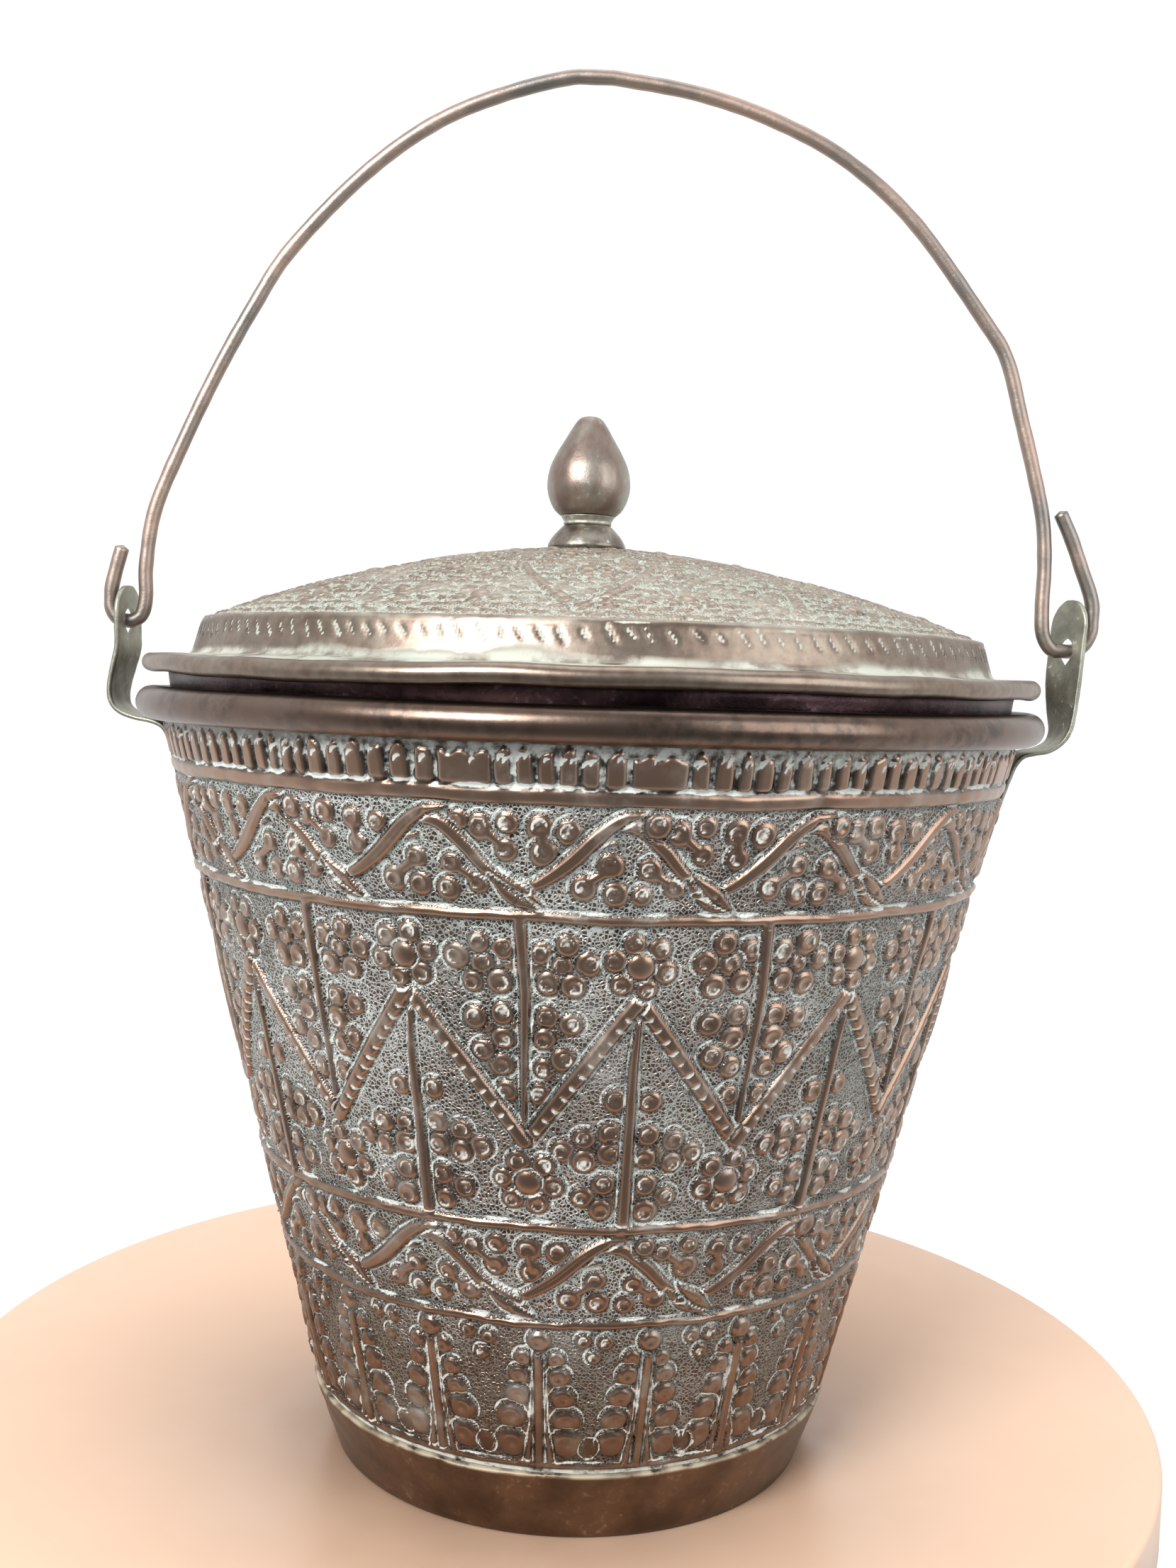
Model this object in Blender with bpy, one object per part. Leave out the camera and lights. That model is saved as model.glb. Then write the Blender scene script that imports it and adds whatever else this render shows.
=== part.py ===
"""Copper ice bucket: a tapered sheet pail with a wired rim, riveted ears, a bail and a domed lid with a knob.

Metres, +Z up. The origin is the centre of the flat underside. The bail turns on an axis along X.
Lengths below are in millimetres and are scaled once, where the vertices are made.
"""

import math

import bmesh
import bpy
from mathutils import Matrix, Vector

MM = 0.001
SEGMENTS = 64
GAP = 0.3

# Pail wall: plain cone with raised lines, and an edge rolled outwards over a wire.
SHEET = 1.2
RIM_Z = 198.0
RIM_CENTRE_R = 115.8
RIM_ROLL_R = 4.2
RIM_CAVITY_R = RIM_ROLL_R - SHEET
RIM_WIRE_R = RIM_CAVITY_R - GAP
ROLL_END_DEG = -125.0
WALL_LOW = (70.3, 21.2)
WALL_HIGH = (113.2, 193.6)
LINE_PROUD = 0.5
LINE_HALF = 0.8
LINE_STATIONS = ((104.0, 156.6), (86.4, 84.4), (79.8, 59.3))
UPPER_LINE_Z = (181.3, 184.1)
UPPER_LINE_R = 110.3

# Foot: plain band lapped over the wall, and a flanged floor inside it.
FOOT_BASE_R = 64.0
FOOT_TOP_R = 70.6
FOOT_TOP_Z = 18.8
FOOT_SHEET = 1.2
WALL_FOOT_Z = 12.5
FLOOR_R = 62.4
FLOOR_T = 1.2
FLOOR_LIP_Z = 8.0

# Lid: dome, sloping band, flat flange rolled over its own wire, and a collar that enters the mouth.
DOME_TOP_Z = 241.9
DOME_EDGE_R = 103.5
DOME_EDGE_Z = 219.5
DOME_POWER = 1.8
BAND_FOOT_R = 106.3
FLANGE_Z = 210.4
HEM_CENTRE_R = 116.2
HEM_CENTRE_Z = 207.7
HEM_R = 2.3
HEM_CAVITY_R = 1.3
HEM_WIRE_R = HEM_CAVITY_R - GAP
HEM_END_DEG = -135.0
COLLAR_TOP = (112.4, 208.8)
COLLAR_MID = (111.0, 199.0)
COLLAR_END = (109.7, 189.5)
COLLAR_SHEET = 1.0

# Knob, standing a little off the middle of the lid.
KNOB_X = -2.5
KNOB_HOLE_R = 1.9
STUD_R = 1.5
STUD_TOP_Z = 261.4
STUD_HEAD_R = 4.4
STUD_HEAD_H = 1.9
WASHER_R = 9.0
WASHER_T = 1.5
KNOB_SEGMENTS = 32

# Bail: one bent rod. Its hooks pass through the ears and turn up outside them.
BAIL_R = 2.1
BAIL_SIDES = 10
PIVOT_Z = 219.2

# Ears: one strip each, with a leg on the wall, a shelf under the rim and an upright plate.
EAR_T = 1.3
EAR_HALF = 7.6
HOLE_R = 3.5
HOLE_DROP = 4.7
RIVET_R = 1.5
RIVET_HOLE_R = RIVET_R + GAP
RIVET_HEAD_R = 3.3
RIVET_HEAD_H = 1.5
RIVET_Z = (164.5, 174.0)
RIVET_SEGMENTS = 14
RIVET_INNER_GAP = 0.4
RIVET_OUTER_GAP = 0.45
LEG_SLOPE = math.radians(14.0)


def clear_scene():
    for obj in list(bpy.data.objects):
        bpy.data.objects.remove(obj)


def metal(name, colour, roughness):
    found = bpy.data.materials.new(name)
    found.use_nodes = True
    shader = found.node_tree.nodes["Principled BSDF"]
    shader.inputs["Base Color"].default_value = (*colour, 1.0)
    shader.inputs["Metallic"].default_value = 1.0
    shader.inputs["Roughness"].default_value = roughness
    found.diffuse_color = (*colour, 1.0)
    return found


def finish(name, bm, colour, roughness, sharp_deg=38.0):
    """Turns the bmesh into the named object, with its faces out, smooth, and its corners kept sharp."""
    bmesh.ops.recalc_face_normals(bm, faces=bm.faces)
    mesh = bpy.data.meshes.new(name)
    bm.to_mesh(mesh)
    bm.free()
    mesh.shade_smooth()
    mesh.set_sharp_from_angle(angle=math.radians(sharp_deg))
    mesh.materials.append(metal(name + "_metal", colour, roughness))
    obj = bpy.data.objects.new(name, mesh)
    bpy.context.scene.collection.objects.link(obj)
    return obj


def revolve(profile, segments=SEGMENTS, centre_x=0.0):
    """A closed (radius, z) loop turned about the vertical line at centre_x.

    Points on that line become one vertex.
    """
    bm = bmesh.new()
    rings = []
    for radius, z in profile:
        if radius < 1e-9:
            rings.append([bm.verts.new(Vector((centre_x, 0.0, z)) * MM)])
            continue
        ring = []
        for step in range(segments):
            turn = 2.0 * math.pi * step / segments
            place = Vector((centre_x + radius * math.cos(turn), radius * math.sin(turn), z))
            ring.append(bm.verts.new(place * MM))
        rings.append(ring)
    for index, low in enumerate(rings):
        high = rings[(index + 1) % len(rings)]
        if len(low) == 1 and len(high) == 1:
            continue
        for step in range(segments):
            after = (step + 1) % segments
            corners = [low[step % len(low)], low[after % len(low)]]
            corners += [high[after % len(high)], high[step % len(high)]]
            bm.faces.new(list(dict.fromkeys(corners)))
    return bm


def arc(centre, radius, start_deg, end_deg, steps):
    """Points (radius, z) along a circle in the profile plane, both ends included."""
    points = []
    for step in range(steps + 1):
        turn = math.radians(start_deg + (end_deg - start_deg) * step / steps)
        points.append((centre[0] + radius * math.cos(turn), centre[1] + radius * math.sin(turn)))
    return points


def spline(points, steps):
    """A smooth curve through the points, with so many steps between each pair."""
    ends = [points[0] * 2 - points[1]] + list(points) + [points[-1] * 2 - points[-2]]
    found = []
    for a, b, c, d in zip(ends, ends[1:], ends[2:], ends[3:]):
        for step in range(steps):
            t = step / steps
            along = (c - a) * t + (a * 2 - b * 5 + c * 4 - d) * t**2 + (b * 3 - a - c * 3 + d) * t**3
            found.append(b + along * 0.5)
    return found + [points[-1]]


def tube(path, radius, sides):
    """A round rod swept along the path, with flat ends."""
    bm = bmesh.new()
    rings = []
    across = Vector((0.0, 1.0, 0.0))
    for index, place in enumerate(path):
        before = path[max(index - 1, 0)]
        after = path[min(index + 1, len(path) - 1)]
        along = (after - before).normalized()
        across = (across - along * across.dot(along)).normalized()
        other = along.cross(across)
        ring = []
        for side in range(sides):
            turn = 2.0 * math.pi * side / sides
            offset = across * math.cos(turn) + other * math.sin(turn)
            ring.append(bm.verts.new((place + offset * radius) * MM))
        rings.append(ring)
    for low, high in zip(rings, rings[1:]):
        for side in range(sides):
            after = (side + 1) % sides
            bm.faces.new((low[side], low[after], high[after], high[side]))
    bm.faces.new(rings[0])
    bm.faces.new(rings[-1])
    return bm


def cutter(name, bm):
    obj = finish(name, bm, (0.5, 0.5, 0.5), 0.5)
    obj.hide_render = True
    obj.display_type = "WIRE"
    return obj


def cut(obj, tool):
    modifier = obj.modifiers.new("cut_" + tool.name, "BOOLEAN")
    modifier.operation = "DIFFERENCE"
    modifier.solver = "EXACT"
    modifier.object = tool


def torus(centre_r, z, radius, sides):
    return revolve(arc((centre_r, z), radius, 0.0, 360.0 - 360.0 / sides, sides - 1))


# Wall


def wall_radius(z):
    """Outer radius of the plain cone between the raised lines."""
    stations = [WALL_LOW, *sorted(LINE_STATIONS, key=lambda s: s[1]), (UPPER_LINE_R, 182.0), WALL_HIGH]
    for (low_r, low_z), (high_r, high_z) in zip(stations, stations[1:]):
        if z <= high_z:
            return low_r + (high_r - low_r) * (z - low_z) / (high_z - low_z) - LINE_PROUD
    return stations[-1][0] - LINE_PROUD


def raised_line(z):
    return [
        (wall_radius(z - LINE_HALF), z - LINE_HALF),
        (wall_radius(z) + LINE_PROUD, z),
        (wall_radius(z + LINE_HALF), z + LINE_HALF),
    ]


def make_wall():
    outside = [(67.0, WALL_FOOT_Z), (68.4, 18.6), (69.8, 21.2)]
    for z in sorted([s[1] for s in LINE_STATIONS] + list(UPPER_LINE_Z)):
        outside += raised_line(z)
    outside += [(RIM_CENTRE_R - RIM_CAVITY_R - 0.15, 194.4)]
    centre = (RIM_CENTRE_R, RIM_Z)
    cavity = arc(centre, RIM_CAVITY_R, 180.0, ROLL_END_DEG, 8)
    roll = arc(centre, RIM_ROLL_R, ROLL_END_DEG, 180.0, 10)
    inside = [(RIM_CENTRE_R - RIM_ROLL_R - 0.15, 194.4)]
    for z in (182.0, 156.6, 84.4, 59.3, 21.2):
        inside.append((wall_radius(z) - SHEET, z))
    inside += [(67.2, 18.6), (65.8, WALL_FOOT_Z)]
    return finish("wall", revolve(outside + cavity + roll + inside), (0.42, 0.22, 0.15), 0.4)


def make_foot():
    slope = (FOOT_TOP_R - FOOT_BASE_R) / FOOT_TOP_Z
    band = [
        (FOOT_BASE_R - 0.4, 0.0),
        (FOOT_BASE_R + 0.15, 0.5),
        (FOOT_TOP_R - slope * 1.6, FOOT_TOP_Z - 1.6),
        (FOOT_TOP_R + 0.1, FOOT_TOP_Z - 0.9),
        (FOOT_TOP_R - 0.2, FOOT_TOP_Z),
        (FOOT_TOP_R - FOOT_SHEET - 0.1, FOOT_TOP_Z),
        (FOOT_BASE_R - FOOT_SHEET, 0.0),
    ]
    finish("foot_band", revolve(band), (0.30, 0.18, 0.12), 0.45)
    lip_r = FLOOR_R + slope * FLOOR_LIP_Z
    floor = [
        (0.0, 0.0),
        (FLOOR_R - 0.6, 0.0),
        (FLOOR_R, 0.6),
        (lip_r, FLOOR_LIP_Z),
        (lip_r - FLOOR_T, FLOOR_LIP_Z),
        (FLOOR_R - FLOOR_T - 0.4, FLOOR_T + 0.6),
        (FLOOR_R - FLOOR_T - 1.4, FLOOR_T),
        (0.0, FLOOR_T),
    ]
    finish("base_disc", revolve(floor), (0.36, 0.22, 0.16), 0.5)


# Lid


def dome_z(radius):
    return DOME_EDGE_Z + (DOME_TOP_Z - DOME_EDGE_Z) * (1.0 - (radius / DOME_EDGE_R) ** DOME_POWER)


def make_lid():
    rings = (12.0, 26.0, 42.0, 58.0, 72.0, 84.0, 94.0, 101.2)
    top = [(0.0, DOME_TOP_Z)] + [(r, dome_z(r)) for r in rings]
    top += [
        (DOME_EDGE_R - 0.4, DOME_EDGE_Z + 0.1),
        (DOME_EDGE_R + 0.4, DOME_EDGE_Z - 0.9),
        (BAND_FOOT_R - 0.3, FLANGE_Z + 1.1),
        (BAND_FOOT_R + 0.7, FLANGE_Z + 0.2),
        (BAND_FOOT_R + 2.2, FLANGE_Z - 0.05),
    ]
    centre = (HEM_CENTRE_R, HEM_CENTRE_Z)
    hem = arc(centre, HEM_R, 90.0, HEM_END_DEG, 6)
    cavity = arc(centre, HEM_CAVITY_R, HEM_END_DEG, 90.0, 5)
    under = [
        (BAND_FOOT_R + 2.2, FLANGE_Z - 1.1),
        (BAND_FOOT_R - 0.2, FLANGE_Z - 0.9),
        (BAND_FOOT_R - 1.5, FLANGE_Z + 0.6),
        (DOME_EDGE_R - 0.9, DOME_EDGE_Z - 1.2),
    ]
    under += [(r - 0.3, dome_z(r) - SHEET) for r in reversed(rings)]
    under += [(0.0, DOME_TOP_Z - SHEET)]
    dome = finish("lid_dome", revolve(top + hem + cavity + under), (0.45, 0.27, 0.19), 0.45)
    low, high = DOME_TOP_Z - 8.0, DOME_TOP_Z + 8.0
    hole = [(0.0, low), (KNOB_HOLE_R, low), (KNOB_HOLE_R, high), (0.0, high)]
    cut(dome, cutter("knob_hole_cutter", revolve(hole, 24, KNOB_X)))
    collar = [COLLAR_END, COLLAR_MID, COLLAR_TOP]
    collar += [(r - COLLAR_SHEET, z) for r, z in reversed(collar)]
    finish("lid_collar", revolve(collar), (0.22, 0.12, 0.13), 0.4)
    wire = torus(HEM_CENTRE_R, HEM_CENTRE_Z, HEM_WIRE_R, 6)
    finish("lid_edge_wire", wire, (0.35, 0.25, 0.20), 0.5)


def ringed(outside, z_low, z_high):
    """A turned profile with the stud hole through it."""
    return outside + [(KNOB_HOLE_R, z_high), (KNOB_HOLE_R, z_low)]


def make_knob():
    foot_z = DOME_TOP_Z + GAP
    foot = [
        (10.1, foot_z),
        (10.5, foot_z + 0.4),
        (9.8, foot_z + 1.5),
        (8.5, foot_z + 3.4),
        (7.2, foot_z + 5.4),
        (6.7, 248.7),
    ]
    foot_body = revolve(ringed(foot, foot_z, 248.7), KNOB_SEGMENTS, KNOB_X)
    finish("finial_foot", foot_body, (0.36, 0.22, 0.17), 0.35)
    ring = [(6.4, 249.0), (7.1, 249.6), (7.2, 250.6), (6.7, 251.2)]
    ring_body = revolve(ringed(ring, 249.0, 251.2), KNOB_SEGMENTS, KNOB_X)
    finish("finial_ring", ring_body, (0.55, 0.52, 0.46), 0.5)
    bulb = [
        (7.6, 251.5),
        (9.45, 253.3),
        (10.8, 256.4),
        (11.25, 259.7),
        (10.5, 264.3),
        (8.7, 268.3),
        (6.5, 272.1),
        (4.4, 275.7),
        (3.1, 277.5),
        (1.9, 278.1),
        (0.0, 278.1),
    ]
    socket_z = STUD_TOP_Z + GAP
    socket = [(0.0, socket_z), (KNOB_HOLE_R, socket_z), (KNOB_HOLE_R, 251.5)]
    finish("finial_bulb", revolve(bulb + socket, KNOB_SEGMENTS, KNOB_X), (0.36, 0.19, 0.14), 0.3)
    washer_top = dome_z(WASHER_R - KNOB_X) - SHEET - GAP
    washer_z = washer_top - WASHER_T
    washer = [
        (WASHER_R, washer_z),
        (WASHER_R, washer_top - 0.3),
        (WASHER_R - 0.3, washer_top),
        (KNOB_HOLE_R, washer_top),
        (KNOB_HOLE_R, washer_z),
    ]
    finish("stud_washer", revolve(washer, KNOB_SEGMENTS, KNOB_X), (0.40, 0.26, 0.18), 0.5)
    head_z = washer_z - GAP
    stud = [
        (0.0, head_z - STUD_HEAD_H),
        (STUD_HEAD_R * 0.6, head_z - STUD_HEAD_H * 0.85),
        (STUD_HEAD_R, head_z - STUD_HEAD_H * 0.3),
        (STUD_HEAD_R, head_z),
        (STUD_R, head_z),
        (STUD_R, STUD_TOP_Z),
        (0.0, STUD_TOP_Z),
    ]
    finish("finial_stud", revolve(stud, 20, KNOB_X), (0.40, 0.26, 0.18), 0.4)


# Bail


def make_bail():
    """The rod runs tail, hook, hoop, hook, tail. Each hook is straight where it passes through its ear."""
    left_tail = [
        (-128.6, 239.5),
        (-130.3, 233.2),
        (-131.6, 227.0),
        (-131.5, 222.8),
        (-130.0, 220.0),
        (-127.8, 219.2),
    ]
    left_hook = [(-125.4, 219.3), (-123.1, 221.1), (-122.1, 226.0)]
    hoop = [
        (-122.2, 234.5),
        (-119.9, 249.7),
        (-112.4, 268.3),
        (-103.4, 287.6),
        (-94.2, 304.6),
        (-84.8, 319.6),
        (-66.5, 339.2),
        (-48.4, 353.2),
        (-30.0, 361.8),
        (-8.5, 367.6),
        (7.0, 366.7),
        (25.6, 363.6),
        (44.5, 357.6),
        (63.4, 348.2),
        (82.5, 332.4),
        (102.6, 307.0),
        (109.3, 296.6),
        (113.8, 281.5),
        (117.7, 267.9),
        (121.0, 254.5),
        (122.1, 242.0),
    ]
    right_hook = [(122.0, 231.0), (122.6, 223.5), (125.0, 219.6), (127.6, 219.2)]
    right_tail = [
        (131.2, 219.3),
        (134.2, 221.4),
        (135.9, 226.4),
        (135.3, 233.4),
        (132.2, 241.6),
        (129.0, 249.7),
        (125.5, 256.9),
    ]
    stations = left_tail + left_hook + hoop + right_hook + right_tail
    path = spline([Vector((x, 0.0, z)) for x, z in stations], 2)
    pivot = Vector((0.0, 0.0, PIVOT_Z))
    rod = tube([place - pivot for place in path], BAIL_R, BAIL_SIDES)
    bail = finish("bail", rod, (0.50, 0.31, 0.25), 0.35, 60.0)
    bail.location = pivot * MM


# Ears


def ear_mesh(side, stations):
    """A strip along stations of (reach, z, half width, turn in degrees, hollow).

    Reach is the distance from the bucket's axis, and hollow is how much of the wall's curve the strip takes.
    """
    columns = (-1.0, -0.6, -0.2, 0.2, 0.6, 1.0)
    centres = [Vector((s[0], 0.0, s[1])) for s in stations]
    bm = bmesh.new()
    rows = []
    for index, (reach, z, half, turn_deg, hollow) in enumerate(stations):
        turn = math.radians(turn_deg)
        before = centres[max(index - 1, 0)]
        after = centres[min(index + 1, len(centres) - 1)]
        along = (after - before).normalized()
        wide = Vector((-math.sin(turn), math.cos(turn), 0.0))
        out = along.cross(wide).normalized()
        if out.x > 0.0 or (abs(out.x) < 1e-6 and out.z > 0.0):
            out = -out
        row = []
        for layer in (-0.5, 0.5):
            for column in columns:
                across = column * half
                place = centres[index] + wide * across + out * (layer * EAR_T)
                place.x -= hollow * across * across / (2.0 * RIM_CENTRE_R)
                row.append(bm.verts.new(Vector((side * place.x, place.y, place.z)) * MM))
        rows.append(row)
    count = len(columns)
    loop = list(range(count)) + list(range(2 * count - 1, count - 1, -1))
    for low, high in zip(rows, rows[1:]):
        for a, b in zip(loop, loop[1:] + loop[:1]):
            bm.faces.new((low[a], low[b], high[b], high[a]))
    for row in (rows[0], rows[-1]):
        inner, outer = row[:count], row[count:]
        for column in range(count - 1):
            bm.faces.new((inner[column], inner[column + 1], outer[column + 1], outer[column]))
    return bm


def plate_top(reach_low, reach_high, z_low, z_high, turn, steps=5):
    """Stations of the rounded top of a plate."""
    found = []
    for step in range(1, steps + 1):
        part = math.sin(0.5 * math.pi * step / steps)
        half = EAR_HALF * math.sqrt(max(1.0 - (0.99 * part) ** 2, 0.0))
        reach = reach_low + (reach_high - reach_low) * part
        found.append((reach, z_low + (z_high - z_low) * part, half, turn, 0.0))
    return found


def hole_cutter(name, side, reach, turn_deg):
    """A teardrop prism square to the plate, round at the top and drawn to a point below."""
    outline = []
    for step in range(15):
        turn = math.radians(-30.0 + 240.0 * step / 14)
        outline.append((HOLE_R * math.cos(turn), HOLE_R * math.sin(turn)))
    outline.append((0.0, -HOLE_DROP))
    turn = math.radians(turn_deg)
    wide = Vector((-math.sin(turn), math.cos(turn), 0.0))
    out = Vector((math.cos(turn), math.sin(turn), 0.0))
    bm = bmesh.new()
    faces = []
    for depth in (-6.0, 6.0):
        ring = []
        for across, up in outline:
            place = Vector((reach, 0.0, PIVOT_Z + up)) + wide * across + out * depth
            ring.append(bm.verts.new(Vector((side * place.x, place.y, place.z)) * MM))
        faces.append(ring)
    for step in range(len(outline)):
        after = (step + 1) % len(outline)
        bm.faces.new((faces[0][step], faces[0][after], faces[1][after], faces[1][step]))
    bm.faces.new(faces[0])
    bm.faces.new(faces[1])
    return cutter(name, bm)


def radial(bm, side, z, reach):
    """Moves a shape made round Z at the origin onto the wall's normal at this height."""
    slope = math.atan2(wall_radius(z + 5.0) - wall_radius(z - 5.0), 10.0)
    tilt = Matrix.Rotation(math.radians(90.0) + slope, 4, "Y")
    place = Matrix.Translation(Vector((reach, 0.0, z)) * MM)
    mirror = Matrix.Scale(side, 4, Vector((1.0, 0.0, 0.0)))
    bmesh.ops.transform(bm, matrix=mirror @ place @ tilt, verts=bm.verts)
    return bm


def strip_at(stations, z):
    """Distance from the axis to the middle of the strip's leg at this height."""
    for low, high in zip(stations, stations[1:]):
        if low[1] <= z <= high[1]:
            return low[0] + (high[0] - low[0]) * (z - low[1]) / (high[1] - low[1])
    return stations[0][0]


def rivet_profile(inner, outer):
    """Head, shank and head along Z. The faces under the heads are at inner and outer."""
    head, tall = RIVET_HEAD_R, RIVET_HEAD_H
    return [
        (0.0, inner - tall),
        (head * 0.6, inner - tall * 0.8),
        (head, inner - tall * 0.2),
        (head * 0.97, inner),
        (RIVET_R, inner),
        (RIVET_R, outer),
        (head * 0.97, outer),
        (head, outer + tall * 0.2),
        (head * 0.6, outer + tall * 0.8),
        (0.0, outer + tall),
    ]


def make_ear(name, side, leg, shelf, plate_low, plate_high, turn):
    shares = (0.0, 0.25, 0.6, 0.85)
    stations = [(r, z, half, 0.0, 1.0) for r, z, half in leg]
    stations += [(r, z, EAR_HALF, 0.0, 0.5) for r, z in shelf[:-4]]
    stations += [(r, z, EAR_HALF, turn * share, 0.0) for (r, z), share in zip(shelf[-4:], shares)]
    (low_r, low_z), (high_r, high_z) = plate_low, plate_high
    round_r = high_r + (low_r - high_r) * EAR_HALF / (high_z - low_z)
    round_z = high_z - EAR_HALF
    stations.append((low_r, low_z, EAR_HALF, turn, 0.0))
    stations.append(((low_r + round_r) * 0.5, (low_z + round_z) * 0.5, EAR_HALF, turn, 0.0))
    stations.append((round_r, round_z, EAR_HALF, turn, 0.0))
    stations += plate_top(round_r, high_r, round_z, high_z, turn)
    ear = finish(name, ear_mesh(side, stations), (0.42, 0.43, 0.36), 0.5)
    reach = low_r + (high_r - low_r) * (PIVOT_Z - low_z) / (high_z - low_z)
    cut(ear, hole_cutter(name + "_hole_cutter", side, reach, turn))
    drills = []
    for z, word in zip(RIVET_Z, ("lower", "upper")):
        wall_r = wall_radius(z)
        stand_off = (strip_at(stations, z) - wall_r) * math.cos(LEG_SLOPE)
        inner = -SHEET - RIVET_INNER_GAP
        outer = stand_off + EAR_T * 0.5 + RIVET_OUTER_GAP
        label = name.replace("ear_", "rivet_") + "_" + word
        shape = revolve(rivet_profile(inner, outer), RIVET_SEGMENTS)
        finish(label, radial(shape, side, z, wall_r), (0.45, 0.36, 0.28), 0.5)
        drill = [(0.0, -8.0), (RIVET_HOLE_R, -8.0), (RIVET_HOLE_R, 12.0), (0.0, 12.0)]
        drills.append(cutter(label + "_drill", radial(revolve(drill, 12), side, z, wall_r)))
    for drill in drills:
        cut(ear, drill)
    return drills


def make_ears(wall):
    left_leg = [
        (105.3, 156.4, 1.2),
        (106.2, 159.6, 4.2),
        (107.2, 163.0, 6.6),
        (108.9, 169.5, EAR_HALF),
        (110.6, 176.5, EAR_HALF),
        (112.2, 183.0, EAR_HALF),
    ]
    left_shelf = [
        (113.4, 187.4),
        (115.2, 190.7),
        (118.4, 192.2),
        (122.8, 193.0),
        (126.6, 194.4),
        (128.8, 196.9),
        (129.1, 201.0),
        (128.0, 206.5),
    ]
    right_leg = [
        (105.9, 158.4, 1.2),
        (106.8, 161.6, 4.2),
        (107.9, 165.4, 6.6),
        (109.5, 171.0, EAR_HALF),
        (111.6, 177.5, EAR_HALF),
        (113.4, 183.0, EAR_HALF),
    ]
    right_shelf = [
        (115.0, 187.6),
        (117.2, 190.2),
        (120.4, 191.2),
        (124.0, 192.0),
        (127.2, 194.2),
        (128.7, 197.6),
        (128.8, 202.2),
        (128.8, 207.6),
    ]
    drills = make_ear("ear_left", -1.0, left_leg, left_shelf, (126.8, 211.8), (127.1, 228.6), 9.0)
    drills += make_ear("ear_right", 1.0, right_leg, right_shelf, (128.9, 212.6), (130.2, 233.0), 20.0)
    for drill in drills:
        cut(wall, drill)


def build():
    clear_scene()
    wall = make_wall()
    finish("rim_wire", torus(RIM_CENTRE_R, RIM_Z, RIM_WIRE_R, 8), (0.35, 0.25, 0.20), 0.5)
    make_foot()
    make_lid()
    make_knob()
    make_bail()
    make_ears(wall)


build()
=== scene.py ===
"""Copper ice bucket with chased ornament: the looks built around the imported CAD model.

Lengths are in millimetres until a mesh is made. Azimuth 0 faces -Y and grows towards +X.
"""

import math

import bmesh
import bpy
import numpy as np
from mathutils import Matrix, Vector


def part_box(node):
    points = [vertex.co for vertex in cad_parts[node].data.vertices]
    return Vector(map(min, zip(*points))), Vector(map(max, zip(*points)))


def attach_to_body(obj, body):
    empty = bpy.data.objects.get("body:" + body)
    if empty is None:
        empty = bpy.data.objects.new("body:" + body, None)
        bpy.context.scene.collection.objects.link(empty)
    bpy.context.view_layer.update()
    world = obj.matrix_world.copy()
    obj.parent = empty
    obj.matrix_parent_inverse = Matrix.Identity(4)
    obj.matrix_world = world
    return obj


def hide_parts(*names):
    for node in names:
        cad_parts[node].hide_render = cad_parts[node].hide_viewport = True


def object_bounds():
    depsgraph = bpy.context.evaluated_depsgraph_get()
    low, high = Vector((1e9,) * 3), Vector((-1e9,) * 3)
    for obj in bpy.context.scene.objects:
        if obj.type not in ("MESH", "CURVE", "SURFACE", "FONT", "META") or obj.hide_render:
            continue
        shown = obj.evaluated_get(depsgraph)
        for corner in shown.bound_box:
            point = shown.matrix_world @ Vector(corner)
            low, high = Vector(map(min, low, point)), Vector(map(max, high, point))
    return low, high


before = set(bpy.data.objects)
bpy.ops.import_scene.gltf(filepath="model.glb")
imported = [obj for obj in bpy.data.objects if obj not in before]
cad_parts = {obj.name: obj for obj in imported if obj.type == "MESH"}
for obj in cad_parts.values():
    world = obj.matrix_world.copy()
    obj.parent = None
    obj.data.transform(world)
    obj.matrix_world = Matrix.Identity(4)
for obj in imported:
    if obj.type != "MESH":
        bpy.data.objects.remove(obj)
cad_low, cad_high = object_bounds()

MM = 0.001
TAU = 2.0 * math.pi

# Sizes shared with the solids.
LINES = ((79.8, 59.3), (86.4, 84.4), (104.0, 156.6))
WALL_STATIONS = ((68.4, 14.0), (70.3, 21.2), *LINES, (110.3, 182.0), (113.2, 193.6))
WALL_INSET = 0.5
WALL_FOOT_Z = 12.5
SHEET = 1.2
RIM = (115.8, 198.0)
RIM_ROLL_R = 4.2
RIM_CAVITY_R = 3.0
DOME_TOP_Z = 241.9
DOME_EDGE = (103.5, 219.5)
DOME_POWER = 1.8
BAND_FOOT_R = 106.3
FLANGE_Z = 210.4
HEM = (116.2, 207.7)
HEM_R = 2.3
HEM_CAVITY_R = 1.3
KNOB_X = -2.5
PIVOT_Z = 219.2
BAIL_R = 2.1
EAR_T = 1.3
EAR_HALF = 7.6
RIVET_Z = (164.5, 174.0)
RIVET_HEAD_R = 3.3
RIVET_HEAD_H = 1.5

# Resolution of the worked surfaces.
WALL_COLUMNS = 1400
WALL_STEP = 0.5
LID_COLUMNS = 900
LID_STEP = 0.7


# Relief: heights over a band that goes all the way round


def ease(value, low, high):
    """0 below low, 1 above high and smooth between."""
    t = np.clip((value - low) / (high - low), 0.0, 1.0)
    return t * t * (3.0 - 2.0 * t)


GROOVE = (0.26, 0.38)
FLOOR_DEPTH = -0.5


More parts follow.
